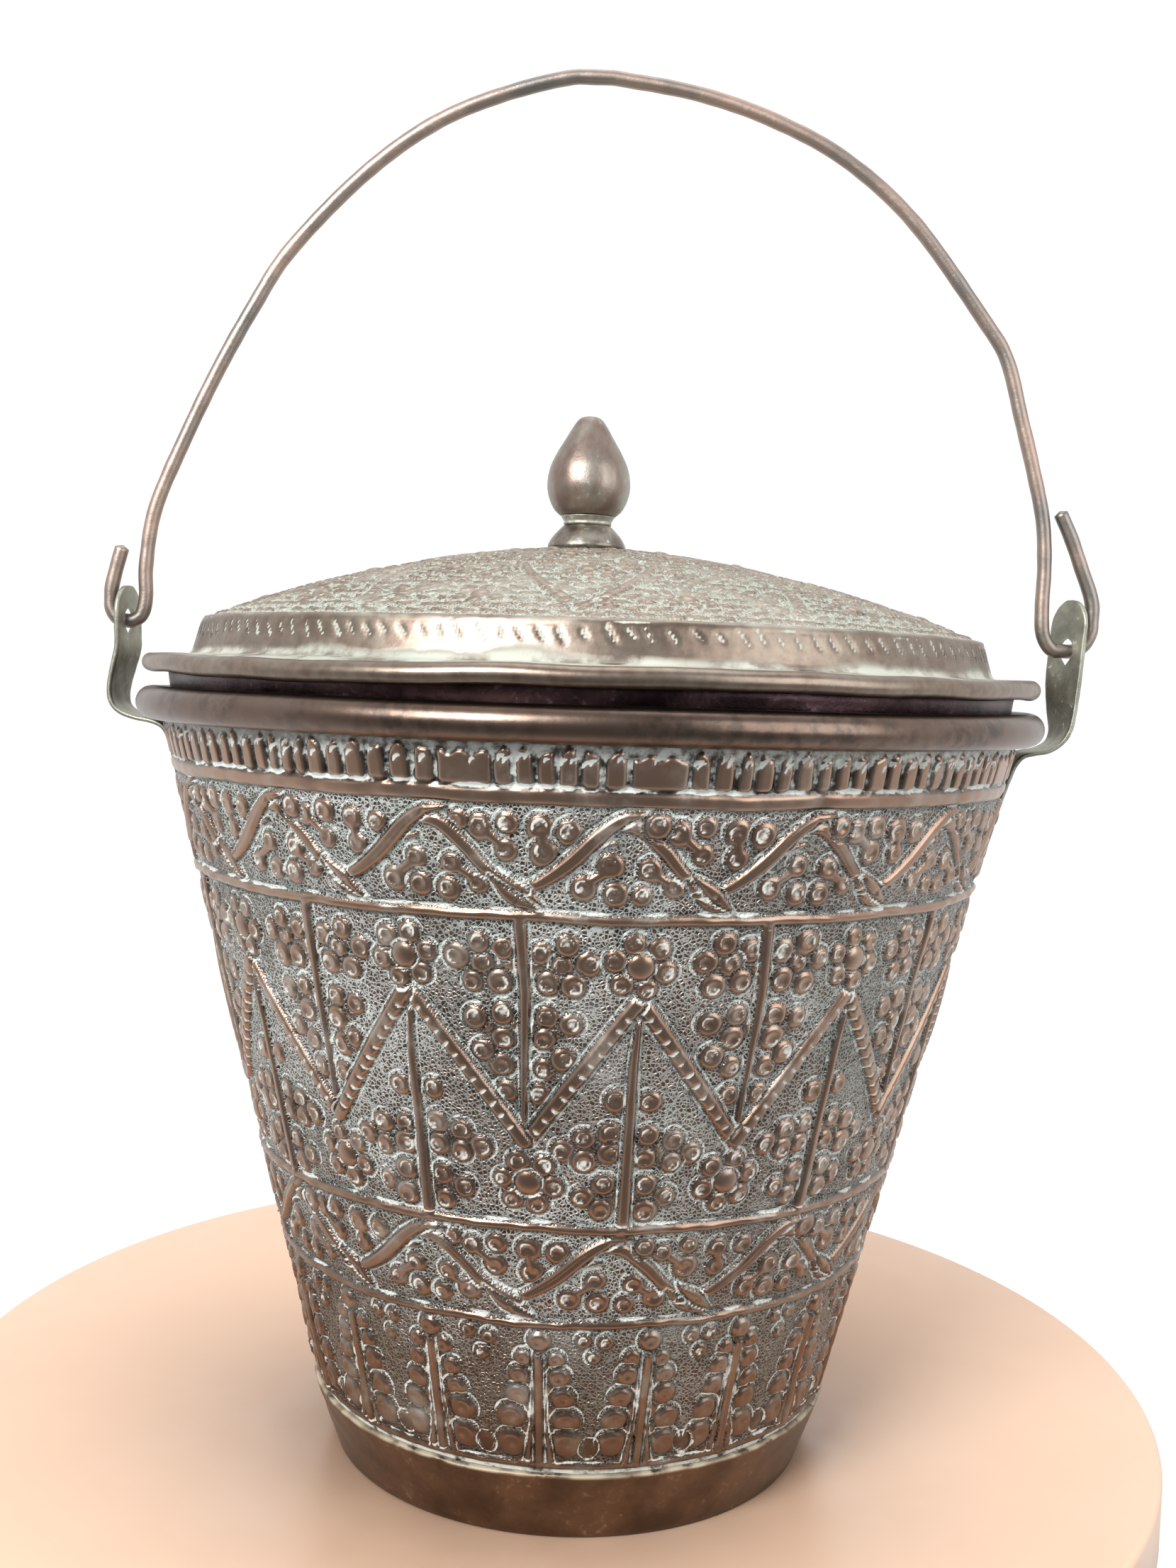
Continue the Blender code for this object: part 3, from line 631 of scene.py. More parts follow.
def make_wall():
    along = np.arange(WALL_LOW_Z, WALL_HIGH_Z, WALL_STEP)
    relief = Relief(along, wall_radius(along), WALL_COLUMNS)
    fluted(relief)
    vine(relief, 157.7, 23.4, 16, -7.3)
    mid_band(relief)
    vine(relief, 60.4, 22.6, 12, -9.4)
    trees(relief)
    for z, half, proud in BEADS:
        relief.line(z, half, proud, 0.22)
    relief.line(20.7, 0.95, 0.55, 0.15)
    relief.height[along < FOOT_EDGE_Z] = 0.0
    relief.chalk[along < FOOT_EDGE_Z] = 0.74

    angle = relief.angle
    # The ears cover the sheet and press it flat.
    side = np.abs(np.sin(angle))[None, :]
    covered = ease(side, 0.9945, 0.9975) * ease(along, 155.0, 159.0)[:, None]
    height = relief.height * (1.0 - 0.75 * covered)
    height = height * ease(along, 18.6, 20.0)[:, None]
    ground = (1.0 - ease(height, 0.05, 0.3)) * (1.0 - relief.plain)
    ground *= ((along < 181.0) & (along > 20.0))[:, None]
    height = height + ground * 0.075 * random.standard_normal(height.shape)
    crevice = ease(relief.smooth(height, 1.3) - height, 0.05, 0.42) * ease(along, FOOT_EDGE_Z, 22.5)[:, None]
    dents = 0.28 * np.outer(waves(along / 174.0 * TAU * 0.5, (1, 2, 3)), waves(angle, (2, 3, 5)))
    dents += 0.10 * np.outer(waves(along / 174.0 * TAU, (4, 7)), waves(angle, (11, 17)))
    dents = dents * (ease(190.0 - along, 0.0, 30.0) * ease(along, 19.5, 36.0))[:, None]
    slope = np.arctan(np.gradient(wall_radius(along), along))
    radial = wall_radius(along)[:, None] + (height + dents) * np.cos(slope)[:, None]
    level = along[:, None] - height * np.sin(slope)[:, None]

    uneven = waves(angle, (2, 3, 7, 12, 19))[None, :]
    cavity = arc(RIM, RIM_CAVITY_R, 180.0, -125.0, 12)
    roll = arc(RIM, RIM_ROLL_R - 0.06, -125.0, 180.0, 34)
    rim = np.vstack([cavity, roll])
    hollow = np.r_[np.zeros(len(cavity)), np.sin(np.linspace(0.0, math.pi, len(roll)))][:, None]
    rim_r = rim[:, :1] - hollow * (0.12 + 0.12 * uneven) * (rim[:, :1] > RIM[0])
    rim_z = rim[:, 1:] + hollow * 0.14 * waves(angle, (3, 5, 9))[None, :]
    inner_z = np.linspace(193.0, 16.0, 52)
    back = np.stack([np.interp(inner_z, along, column) for column in relief.smooth(height, 2.0).T], 1)
    inner_r = wall_radius(inner_z)[:, None] - SHEET + 0.5 * np.clip(back, -0.2, 0.8)
    low = np.array([(65.8, WALL_FOOT_Z), (67.0, WALL_FOOT_Z), (68.3, 17.4)])
    blocks = [(radial, level), (rim_r, rim_z), (inner_r, inner_z[:, None]), (low[:, :1], low[:, 1:])]
    chalk = np.clip(relief.chalk, 0.0, 1.2)
    shades = {"ground": ground, "crevice": crevice, "chalk": chalk, "high": ease(height, 0.1, 0.75)}
    return worked_sheet("wall_work", blocks, relief, len(inner_z) + len(low), shades)


# Lid


def dome_z(radius):
    return DOME_EDGE[1] + (DOME_TOP_Z - DOME_EDGE[1]) * (1.0 - (radius / DOME_EDGE[0]) ** DOME_POWER)


def dome_flower(relief, azimuth, at):
    relief.boss(azimuth, at, 2.3, 0.9)
    for petal in range(6):
        turn = TAU * petal / 6.0
        x, y = 4.9 * math.sin(turn), 4.9 * math.cos(turn)
        relief.berry(place(relief, azimuth, at, x), at + y, 2.1, 0.7, 0.35)


def feather(relief, along_of, azimuth, radius, across, run):
    """One slanting strap of the dome's zigzags, with notches along it."""
    at = along_of(radius)
    points = [(-across, run / 2.0), (0.0, 0.0), (across, -run / 2.0)]
    relief.strap(azimuth, at, points, (3.4, 3.6, 3.2), 0.7, groove=0.3, chalk=0.9)
    length = math.hypot(2.0 * across, run)
    for cut in np.arange(3.0, length - 2.0, 2.9):
        x, y = across * (2.0 * cut / length - 1.0), run * (0.5 - cut / length)
        notch = ((-1.5, 0.5), (0.0, 0.0), (1.5, 0.4))
        relief.chisel(place(relief, azimuth, at, x), along_of(radius + y), notch, 0.8, 0.4, 0.9)


# Dome rings as (number of zigzags, inner radius, outer radius, azimuth of the first).
DOME_RINGS = ((10, 18.0, 50.0, 9.0), (12, 58.0, 97.0, -1.5))
SCALE_ROWS, FIRST_SCALES_R, SCALE_ROW_STEP, SCALE_PITCH = 21, 14.5, 4.25, 5.6


def dome_ornament(relief, along_of):
    """Rows of slanted scales, with feathered zigzags over them and flowers between, in two rings."""
    for row in range(SCALE_ROWS):
        radius = FIRST_SCALES_R + SCALE_ROW_STEP * row
        count = max(int(TAU * radius / SCALE_PITCH), 8)
        lean = 0.8 if row % 2 else -0.8
        for step in range(count):
            azimuth = 360.0 * (step + 0.5 * (row % 2) + jitter(0.12)) / count
            points = [(-2.3, lean + jitter(0.3)), (0.0, 0.35), (2.3, -lean + jitter(0.3))]
            widths = (0.6, random.uniform(1.7, 2.5), 0.6)
            relief.strap(azimuth, along_of(radius) + jitter(0.25), points, widths, 0.5, True, 0.26, 0.5)
    for count, inner, outer, phase in DOME_RINGS:
        period = 360.0 / count
        middle_r = (inner + outer) / 2.0
        for step in range(count):
            azimuth = phase + period * step
            for side in (-1.0, 1.0):
                across = side * math.radians(period / 2.0) * middle_r / 2.0
                feather(relief, along_of, azimuth + side * period / 4.0, middle_r, across, outer - inner)
            dome_flower(relief, azimuth, along_of(inner + 6.0))
            dome_flower(relief, azimuth + period / 2.0, along_of(outer - 9.0))
            for r, offset in ((outer - 15.0, 0.0), (inner + 16.0, period / 2.0), (outer - 5.0, 0.0)):
                for x, y in ((-4.5, 0.0), (0.0, 3.0), (4.5, 0.0)):
                    at = along_of(r) + y
                    there = place(relief, azimuth + offset, at, x + jitter(0.6))
                    relief.berry(there, at + jitter(0.6), 2.2, 0.7, 0.35)


def band_strokes(relief, top_at):
    """Slanting chisel strokes round the lid's sloping band, of uneven length."""
    azimuth = -180.0
    while azimuth < 179.0:
        lean = 1.15 + jitter(0.35)
        tall = random.uniform(1.3, 2.1)
        bend = ((-lean, -tall), (-0.15, -0.1), (lean, tall))
        relief.chisel(azimuth, top_at + 3.3 + jitter(0.35), bend, random.uniform(0.7, 1.0), 0.34, 1.1)
        if random.uniform() < 0.45:
            short = ((-0.7, -0.9), (0.0, 0.1), (0.8, 1.0))
            relief.chisel(azimuth + 0.35, top_at + 4.4, short, 0.8, 0.22, 0.8)
        azimuth += random.uniform(2.05, 3.05)


LID_HOLE_R = 2.3
UNDER_RADII = (101.2, 94.0, 84.0, 72.0, 58.0, 42.0, 26.0, 12.0)


def make_lid():
    (edge_r, edge_z), band_r = DOME_EDGE, BAND_FOOT_R
    top = [(r, dome_z(r)) for r in np.linspace(LID_HOLE_R, edge_r - 0.9, 90)]
    top += [(edge_r - 0.2, edge_z + 0.2), (edge_r + 0.35, edge_z - 0.5), (edge_r + 0.62, edge_z - 1.3)]
    top += [(band_r + out, FLANGE_Z + up) for out, up in ((-0.35, 1.35), (0.05, 0.6), (0.8, 0.15))]
    top += [(band_r + 2.2, FLANGE_Z - 0.05), (HEM[0], HEM[1] + HEM_R)]
    along, r, z = resampled(top, LID_STEP)
    tangent = directions(r, z)
    relief = Relief(along, r, LID_COLUMNS)

    def along_of(radius):
        return float(np.interp(radius, r, along))

    dome_ornament(relief, along_of)
    edge_at = along_of(edge_r - 0.3)
    relief.height[along > edge_at - 1.6] = 0.0
    relief.chalk[along > edge_at - 1.2] = 0.0
    band_strokes(relief, edge_at)
    relief.line(edge_at - 0.2, 0.8, 0.35, 0.12)
    height, angle = relief.height, relief.angle
    ground = (1.0 - ease(height, 0.05, 0.3)) * (along < edge_at - 1.0)[:, None]
    height = height + ground * 0.07 * random.standard_normal(height.shape)
    crevice = ease(relief.smooth(height, 1.3) - height, 0.05, 0.4)
    high = ease(height - relief.smooth(height, 2.4), 0.1, 0.6)
    drift = 0.35 * waves(angle, (4, 9, 15, 27))[None, :] * ease(along, edge_at + 4.0, edge_at + 7.5)[:, None]
    dusty = ease(along, edge_at + 6.6, edge_at + 9.4)[:, None] + drift
    dusty = np.clip(dusty, 0.0, 1.0) * ease(along[-1] - along, 1.4, 3.4)[:, None]
    wave = 0.45 * waves(angle, (2, 3, 5))[None, :] + 0.18 * waves(angle, (9, 14, 22))[None, :]
    droop = ease(along, edge_at + 9.0, along[-1])[:, None] * wave
    sink = 0.3 * np.outer(np.sin(along / along[-1] * math.pi), waves(angle, (2, 3, 4)))
    outer_r = r[:, None] - height * tangent[:, 1:]
    outer_z = z[:, None] + height * tangent[:, :1] + droop + sink

    hem = arc(HEM, HEM_R, 90.0, -135.0, 22)[1:]
    cavity = arc(HEM, HEM_CAVITY_R, -135.0, 90.0, 8)
    roll = np.vstack([hem, cavity])
    thin = 0.10 * (1.0 + waves(angle, (6, 11, 21))[None, :]) * (roll[:, :1] > HEM[0] + 1.0)
    under = [(band_r + 2.2, FLANGE_Z - 1.25), (band_r - 0.2, FLANGE_Z - 1.0), (band_r - 1.5, FLANGE_Z + 0.6)]
    under += [(edge_r - 0.9, edge_z - 1.2)]
    under += [(at - 0.3, dome_z(at) - SHEET) for at in UNDER_RADII]
    under = np.array(under + [(LID_HOLE_R, dome_z(LID_HOLE_R) - SHEET)])
    follow = np.sin(np.interp(under[:, 0], r, along) / along[-1] * math.pi)
    under_sink = np.minimum(0.3 * np.outer(follow, waves(angle, (2, 3, 4))), 0.0)
    flange_row = np.arange(len(under))[:, None] == 0
    under_z = under[:, 1:] + wave * flange_row * 0.9 + under_sink
    blocks = [(outer_r, outer_z), (roll[:, :1] - thin, roll[:, 1:] + wave), (under[:, :1], under_z)]
    chalk = np.clip(relief.chalk, 0.0, 1.2)
    shades = {"ground": ground, "crevice": crevice, "chalk": chalk, "high": high, "dust": dusty}
    return worked_sheet("lid_work", blocks, relief, len(cavity) + len(under), shades, flip=True)


def make_collar():
    columns = 360
    outside = [(109.7, 189.5), (110.4, 194.0), (111.0, 199.0), (111.7, 204.0), (112.4, 208.8)]
    profile = np.array(outside + [(r - 1.0, z) for r, z in reversed(outside)])
    dent = waves(TAU * np.arange(columns) / columns, (4, 7, 13))[None, :] * np.sin(profile[:, 1:] * 0.35)
    return closed_rings("lid_collar_worn", [(profile[:, :1] + 0.12 * dent - 0.12, profile[:, 1:])], columns)


# Foot


def make_foot():
    columns = 540
    outside = [(63.6, 0.0), (64.2, 0.5)]
    outside += [(64.2 + 6.2 * t, 0.5 + 17.2 * t) for t in np.linspace(0.06, 1.0, 24)]
    outside += [(70.55, 18.15), (70.35, 18.6), (69.9, 18.85), (69.22, 18.85), (68.9, 17.8), (62.9, 0.1)]
    profile = np.array(outside)
    flat, level = profile[:, :1], profile[:, 1:]
    angle = TAU * np.arange(columns) / columns
    ragged = 0.5 * waves(angle, (7, 13, 29, 44))[None, :]
    free = ease(level, 1.0, 8.0) * (1.0 - ease(level, 18.0, 18.7))
    radii = flat + 0.13 * waves(angle, (3, 5, 8, 13))[None, :] * free
    radii = radii + 0.1 * np.sin(level * 0.9) * waves(angle, (9, 16, 25))[None, :] * free
    heights = level + ease(level, 14.0, 18.8) * (0.2 * ragged - 0.06)
    spots = np.clip(0.85 + 0.4 * waves(angle, (19, 33, 57, 71)), 0.6, 1.1)[None, :]
    crust = 0.85 * ease(level, 17.6, 18.6) * spots
    return closed_rings("foot_work", [(radii, heights)], columns, attributes={"chalk": crust})


# Knob

STUD_HOLE_R = 1.9


def make_knob():
    foot = spline([(10.1, 242.25), (10.6, 242.9), (10.3, 244.0), (9.2, 245.8), (7.6, 247.6), (6.5, 248.7)], 5)
    ring = spline([(6.3, 248.85), (6.5, 249.2), (6.45, 249.8), (6.9, 250.6), (7.3, 251.2)], 4)
    bulb = spline(
        [(7.6, 251.5), (9.3, 253.2), (10.7, 256.2), (11.25, 259.7), (10.6, 264.1), (8.8, 268.2),
         (6.5, 272.1), (4.5, 275.5), (3.2, 277.2), (1.9, 277.9), (0.15, 278.05)], 6)
    hole = STUD_HOLE_R
    bulb = np.vstack([bulb, [(0.15, 261.9)]])
    made = {}
    pieces = (("foot", foot, 248.7, 0.08), ("ring", ring, 251.2, 0.16), ("bulb", bulb, 261.7, 0.06))
    for name, outline, hole_end, wobble in pieces:
        profile = np.vstack([[(hole, outline[0, 1])], outline, [(hole, hole_end)]])
        made[name] = turned("finial_%s_worn" % name, profile, 144, wobble, KNOB_X, (2, 3, 5, 9, 14))
    return made


# Bail

LEFT_TAIL = (
    (-128.6, 239.5), (-130.3, 233.2), (-131.6, 227.0), (-131.5, 222.8), (-130.0, 220.0), (-127.8, 219.2))
LEFT_HOOK = ((-125.4, 219.3), (-123.1, 221.1), (-122.1, 226.0))
HOOP = (
    (-122.2, 234.5), (-119.9, 249.7), (-112.4, 268.3), (-103.4, 287.6), (-94.2, 304.6), (-84.8, 319.6),
    (-66.5, 339.2), (-48.4, 353.2), (-30.0, 361.8), (-8.5, 367.6), (7.0, 366.7), (25.6, 363.6),
    (44.5, 357.6), (63.4, 348.2), (82.5, 332.4), (102.6, 307.0), (109.3, 296.6), (113.8, 281.5),
    (117.7, 267.9), (121.0, 254.5), (122.1, 242.0),
)
RIGHT_HOOK = ((122.0, 231.0), (122.6, 223.5), (125.0, 219.6), (127.6, 219.2))
RIGHT_TAIL = (
    (131.2, 219.3), (134.2, 221.4), (135.9, 226.4), (135.3, 233.4),
    (132.2, 241.6), (129.0, 249.7), (125.5, 256.9),
)


def make_bail():
    """A hand-bent rod, slightly flattened where it was hammered, with eased ends."""
    sides, margin = 28, BAIL_R + 0.05
    path = spline(LEFT_TAIL + LEFT_HOOK + HOOP + RIGHT_HOOK + RIGHT_TAIL, 12)
    path[:, 0] = np.clip(path[:, 0], cad_low.x / MM + margin, cad_high.x / MM - margin)
    path[:, 1] = np.minimum(path[:, 1], cad_high.z / MM - margin)
    lengths = np.r_[0.0, np.cumsum(np.hypot(*np.diff(path, axis=0).T))]
    count = int(lengths[-1] / 0.75)
    at = np.linspace(0.0, lengths[-1], count)
    x, z = np.interp(at, lengths, path[:, 0]), np.interp(at, lengths, path[:, 1])
    tangent = directions(x, z)
    phase = at / lengths[-1] * TAU
    from_end = np.clip(np.minimum(at, at[::-1]) / 0.8, 0.0, 1.0)
    cap = np.sqrt(np.clip(1.0 - (1.0 - from_end) ** 2, 0.02, 1.0))
    flat = 0.05 * waves(phase, (9, 14, 23, 38))
    turn = TAU * np.arange(sides) / sides
    radius = (BAIL_R - 0.07) * cap[:, None] * (0.98 + 0.015 * waves(phase, (31, 52, 77))[:, None])
    radius = radius * (1.0 - 0.035 * np.clip(np.cos(2.0 * (turn[None, :] + 2.0 * flat[:, None])), 0.0, 1.0))
    out, side = radius * np.cos(turn)[None, :], radius * np.sin(turn)[None, :]
    points = np.stack([x[:, None] - out * tangent[:, 1:], side, z[:, None] + out * tangent[:, :1]], -1)
    ends = [(x[0], 0.0, z[0]), (x[-1], 0.0, z[-1])]
    points = np.vstack([points.reshape(-1, 3), ends])
    obj = mesh_object("bail_rod", points, wrapped_quads(count, sides, False))
    first = np.arange(sides)
    after, last, tip = np.roll(first, -1), (count - 1) * sides, np.full(sides, count * sides)
    start_fan = np.stack([after, first, tip], -1)
    end_fan = np.stack([last + first, last + after, tip + 1], -1)
    return add_faces(obj, [*start_fan, *end_fan])


# Ears and rivets

LEFT_EAR = {
    "side": -1.0,
    "leg": ((105.3, 156.4, 1.2), (106.2, 159.6, 4.2), (107.2, 163.0, 6.6),
            (108.9, 169.5, 7.6), (110.6, 176.5, 7.6),
            (112.2, 183.0, 7.6)),
    "shelf": ((113.4, 187.4), (115.2, 190.7), (118.4, 192.2), (122.8, 193.0), (126.6, 194.4), (128.8, 196.9),
              (129.1, 201.0), (128.0, 206.5)),
    "plate": ((126.8, 211.8), (127.1, 228.6)),
    "turn": 9.0,
}
RIGHT_EAR = {
    "side": 1.0,
    "leg": ((105.9, 158.4, 1.2), (106.8, 161.6, 4.2), (107.9, 165.4, 6.6),
            (109.5, 171.0, 7.6), (111.6, 177.5, 7.6),
            (113.4, 183.0, 7.6)),
    "shelf": ((115.0, 187.6), (117.2, 190.2), (120.4, 191.2), (124.0, 192.0), (127.2, 194.2), (128.7, 197.6),
              (128.8, 202.2), (128.8, 207.6)),
    "plate": ((128.9, 212.6), (130.2, 233.0)),
    "turn": 20.0,
}


def ear_stations(ear):
    """(reach, z, half width, turn in degrees, hollow) down the ear's middle line, as in the solids."""
    turn, shares = ear["turn"], (0.0, 0.25, 0.6, 0.85)
    found = [(r, z, half, 0.0, 1.0) for r, z, half in ear["leg"]]
    found += [(r, z, EAR_HALF, 0.0, 0.5) for r, z in ear["shelf"][:-4]]
    found += [(r, z, EAR_HALF, turn * share, 0.0) for (r, z), share in zip(ear["shelf"][-4:], shares)]
    (low_r, low_z), (high_r, high_z) = ear["plate"]
    round_z = high_z - EAR_HALF
    round_r = high_r + (low_r - high_r) * EAR_HALF / (high_z - low_z)
    middle_r, middle_z = (low_r + round_r) / 2, (low_z + round_z) / 2
    found += [(low_r, low_z, EAR_HALF, turn, 0.0), (middle_r, middle_z, EAR_HALF, turn, 0.0)]
    found.append((round_r, round_z, EAR_HALF, turn, 0.0))
    for step in range(1, 10):
        part = math.sin(0.5 * math.pi * step / 9.0)
        half = EAR_HALF * math.sqrt(max(1.0 - (0.985 * part) ** 2, 0.0))
        found.append((round_r + (high_r - round_r) * part, round_z + EAR_HALF * part, half, turn, 0.0))
    return np.array(found)


def teardrop(side, reach, turn_deg):
    """The hole's outline swept through the plate, as a closed cutter."""
    outline = [(3.5 * math.cos(t), 3.5 * math.sin(t)) for t in np.radians(np.linspace(-30.0, 210.0, 33))]
    outline.append((0.0, -4.7))
    turn = math.radians(turn_deg)
    points = []
    for depth in (-6.0, 6.0):
        for across, up in outline:
            out = reach - math.sin(turn) * across + math.cos(turn) * depth
            points.append((side * out, math.cos(turn) * across + math.sin(turn) * depth, PIVOT_Z + up))
    count = len(outline)
    obj = mesh_object("teardrop", np.array(points), wrapped_quads(2, count, False))
    return add_faces(obj, [range(count), range(count, 2 * count)])


def make_ear(name, ear):
    """A hammered strip with rounded edges and a punched hole."""
    side = ear["side"]
    stations = spline(ear_stations(ear), 5)
    stations[:, 2] = np.clip(stations[:, 2], 0.9, EAR_HALF)
    columns = np.linspace(-1.0, 1.0, 25)
    section = [(c, -0.5) for c in columns] + [(1.0, t) for t in (-0.3, 0.0, 0.3)]
    section += [(c, 0.5) for c in columns[::-1]] + [(-1.0, t) for t in (0.3, 0.0, -0.3)]
    points = []
    headings = directions(*stations[:, :2].T)
    for (reach, z, half, turn_deg, hollow), (along_r, along_z) in zip(stations, headings):
        turn = math.radians(turn_deg)
        wide = Vector((-math.sin(turn), math.cos(turn), 0.0))
        out = Vector((along_r, 0.0, along_z)).cross(wide).normalized()
        if out.x > 0.0 or (abs(out.x) < 1e-6 and out.z > 0.0):
            out = -out
        for column, layer in section:
            round_off = 0.22 * max(abs(column) - 0.9, 0.0) / 0.1
            trim = 0.28 * (abs(layer) > 0.4) * (abs(column) > 0.99) + 0.1 * (abs(layer) == 0.3)
            across = column * (half - trim)
            beat = math.sin(0.9 * across + 0.55 * z) + math.sin(1.7 * z - 0.8 * across + 2.0 * side)
            dent = 0.025 * math.copysign(beat, beat * (layer or 1.0))
            depth = layer * EAR_T * (1.0 - 0.5 * round_off) + dent
            point = Vector((reach, 0.0, z)) + wide * across + out * depth
            point.x -= hollow * across * across / (2.0 * RIM[0])
            points.append((side * point.x, point.y, point.z))
    around = len(section)
    obj = mesh_object(name, np.array(points), wrapped_quads(len(stations), around, False))
    caps = []
    for start in (0, (len(stations) - 1) * around):
        inner = range(start, start + 25)
        outer = range(start + 52, start + 27, -1)
        caps += [(inner[a], inner[a + 1], outer[a + 1], outer[a]) for a in range(24)]
        caps.append((inner[24], start + 25, start + 26, start + 27, outer[24]))
        caps.append((inner[0], start + 55, start + 54, start + 53, outer[0]))
    add_faces(obj, caps)
    (low_r, low_z), (high_r, high_z) = ear["plate"]
    reach = low_r + (high_r - low_r) * (PIVOT_Z - low_z) / (high_z - low_z)
    tool = teardrop(side, reach, ear["turn"])
    cut = obj.modifiers.new("hole", "BOOLEAN")
    cut.operation = "DIFFERENCE"
    cut.solver = "EXACT"
    cut.object = tool
    bpy.context.view_layer.update()
    obj.data = bpy.data.meshes.new_from_object(obj.evaluated_get(bpy.context.evaluated_depsgraph_get()))
    obj.modifiers.clear()
    bpy.data.objects.remove(tool)
    obj.data.shade_smooth()
    obj.data.set_sharp_from_angle(angle=math.radians(50.0))
    return obj


def make_rivet(name, side, z):
    """Two hammered heads on a short shank, square to the wall."""
    low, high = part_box(name)
    columns = 40
    wall_r = float(wall_radius(z))
    slope = math.atan2(float(wall_radius(z + 5.0) - wall_radius(z - 5.0)), 10.0)
    reach = max(abs(low.x), abs(high.x)) / MM - wall_r
    outer = reach / math.cos(slope) - RIVET_HEAD_H - 0.25
    inner = -SHEET - 0.4
    turns = np.radians((0, 12, 25, 38, 52, 66, 80))
    dome = [(RIVET_HEAD_R * math.cos(t), RIVET_HEAD_H * math.sin(t)) for t in turns]
    profile = [(0.05, inner - RIVET_HEAD_H)] + [(r, inner - up) for r, up in reversed(dome)]
    profile += [(1.5, inner), (1.5, outer)] + [(r, outer + up) for r, up in dome]
    profile = np.array(profile + [(0.05, outer + RIVET_HEAD_H)])
    uneven = waves(TAU * np.arange(columns) / columns, (2, 3, 5))[None, :]
    obj = closed_rings(name + "_head", [(profile[:, :1] * (0.97 + 0.03 * uneven), profile[:, 1:])], columns)
    tilt = Matrix.Rotation(math.radians(90.0) + slope, 4, "Y")
    mirror = Matrix.Scale(side, 4, Vector((1.0, 0.0, 0.0)))
    obj.data.transform(mirror @ Matrix.Translation(Vector((wall_r, 0.0, z)) * MM) @ tilt)
    if side < 0.0:
        obj.data.flip_normals()
    return obj


# Materials


class Shader:
    """A node material under construction."""

    def __init__(self, name):
        self.material = bpy.data.materials.new(name)
        self.material.use_nodes = True
        self.tree = self.material.node_tree
        self.out = self.tree.nodes["Principled BSDF"]
        self.coords = self.tree.nodes.new("ShaderNodeTexCoord").outputs["Object"]

    def put(self, socket, value):
        if isinstance(value, bpy.types.NodeSocket):
            self.tree.links.new(value, socket)
        elif isinstance(value, tuple) and len(value) == 3 and socket.type == "RGBA":
            socket.default_value = (*value, 1.0)
        else:
            socket.default_value = value

    def attribute(self, name):
        node = self.tree.nodes.new("ShaderNodeAttribute")
        node.attribute_name = name
        return node.outputs["Fac"]

    def height(self):
        node = self.tree.nodes.new("ShaderNodeSeparateXYZ")
        self.put(node.inputs[0], self.coords)
        return node.outputs["Z"]

    def noise(self, scale, detail=3.0, roughness=0.55, stretch=None):
        node = self.tree.nodes.new("ShaderNodeTexNoise")
        vector = self.coords
        if stretch:
            mapping = self.tree.nodes.new("ShaderNodeMapping")
            self.put(mapping.inputs["Vector"], self.coords)
            mapping.inputs["Scale"].default_value = stretch
            vector = mapping.outputs["Vector"]
        self.put(node.inputs["Vector"], vector)
        node.inputs["Scale"].default_value = scale
        node.inputs["Detail"].default_value = detail
        node.inputs["Roughness"].default_value = roughness
        return node.outputs["Fac"]

    def cells(self, scale):
        node = self.tree.nodes.new("ShaderNodeTexVoronoi")
        node.feature = "DISTANCE_TO_EDGE"
        self.put(node.inputs["Vector"], self.coords)
        node.inputs["Scale"].default_value = scale
        return node.outputs["Distance"]

    def span(self, value, low, high, to_low=0.0, to_high=1.0, smooth=True):
        node = self.tree.nodes.new("ShaderNodeMapRange")
        node.interpolation_type = "SMOOTHSTEP" if smooth else "LINEAR"
        limits = {"From Min": low, "From Max": high, "To Min": to_low, "To Max": to_high}
        for key, item in {"Value": value, **limits}.items():
            self.put(node.inputs[key], item)
        return node.outputs["Result"]

    def maths(self, operation, a, b, clamp=False):
        node = self.tree.nodes.new("ShaderNodeMath")
        node.operation = operation
        node.use_clamp = clamp
        self.put(node.inputs[0], a)
        self.put(node.inputs[1], b)
        return node.outputs[0]

    def mix(self, share, a, b):
        node = self.tree.nodes.new("ShaderNodeMix")
        node.data_type = "RGBA"
        self.put(node.inputs["Factor"], share)
        self.put(node.inputs["A"], a)
        self.put(node.inputs["B"], b)
        return node.outputs["Result"]

    def bump(self, value, distance, strength, normal=None):
        node = self.tree.nodes.new("ShaderNodeBump")
        node.inputs["Strength"].default_value = strength
        node.inputs["Distance"].default_value = distance
        self.put(node.inputs["Height"], value)
        if normal is not None:
            self.put(node.inputs["Normal"], normal)
        return node.outputs["Normal"]

    def set(self, **values):
        for key, value in values.items():
            self.put(self.out.inputs[key.replace("_", " ")], value)
        return self.material

    def chased(self, metal, deposit, white, cells, fine, smoothest, roughest):
        """Punched metal, rough and matt where a pale deposit lies on it."""
        pits = self.maths("MULTIPLY", self.span(cells, 0.0, 0.32, 1.0, 0.0), self.attribute("ground"))
        return self.set(
            Base_Color=self.mix(deposit, metal, white),
            Metallic=self.span(deposit, 0.1, 0.9, 1.0, 0.0),
            Roughness=self.span(deposit, 0.0, 0.8, smoothest, roughest),
            Normal=self.bump(fine, 0.0001, 0.5, self.bump(pits, 0.00022, 0.9)),
        )


DARK = (0.085, 0.067, 0.057)
BROWN = (0.175, 0.122, 0.096)
COPPER = (0.365, 0.24, 0.174)
CHALK = (0.53, 0.562, 0.548)
GREEN_CHALK = (0.40, 0.455, 0.43)


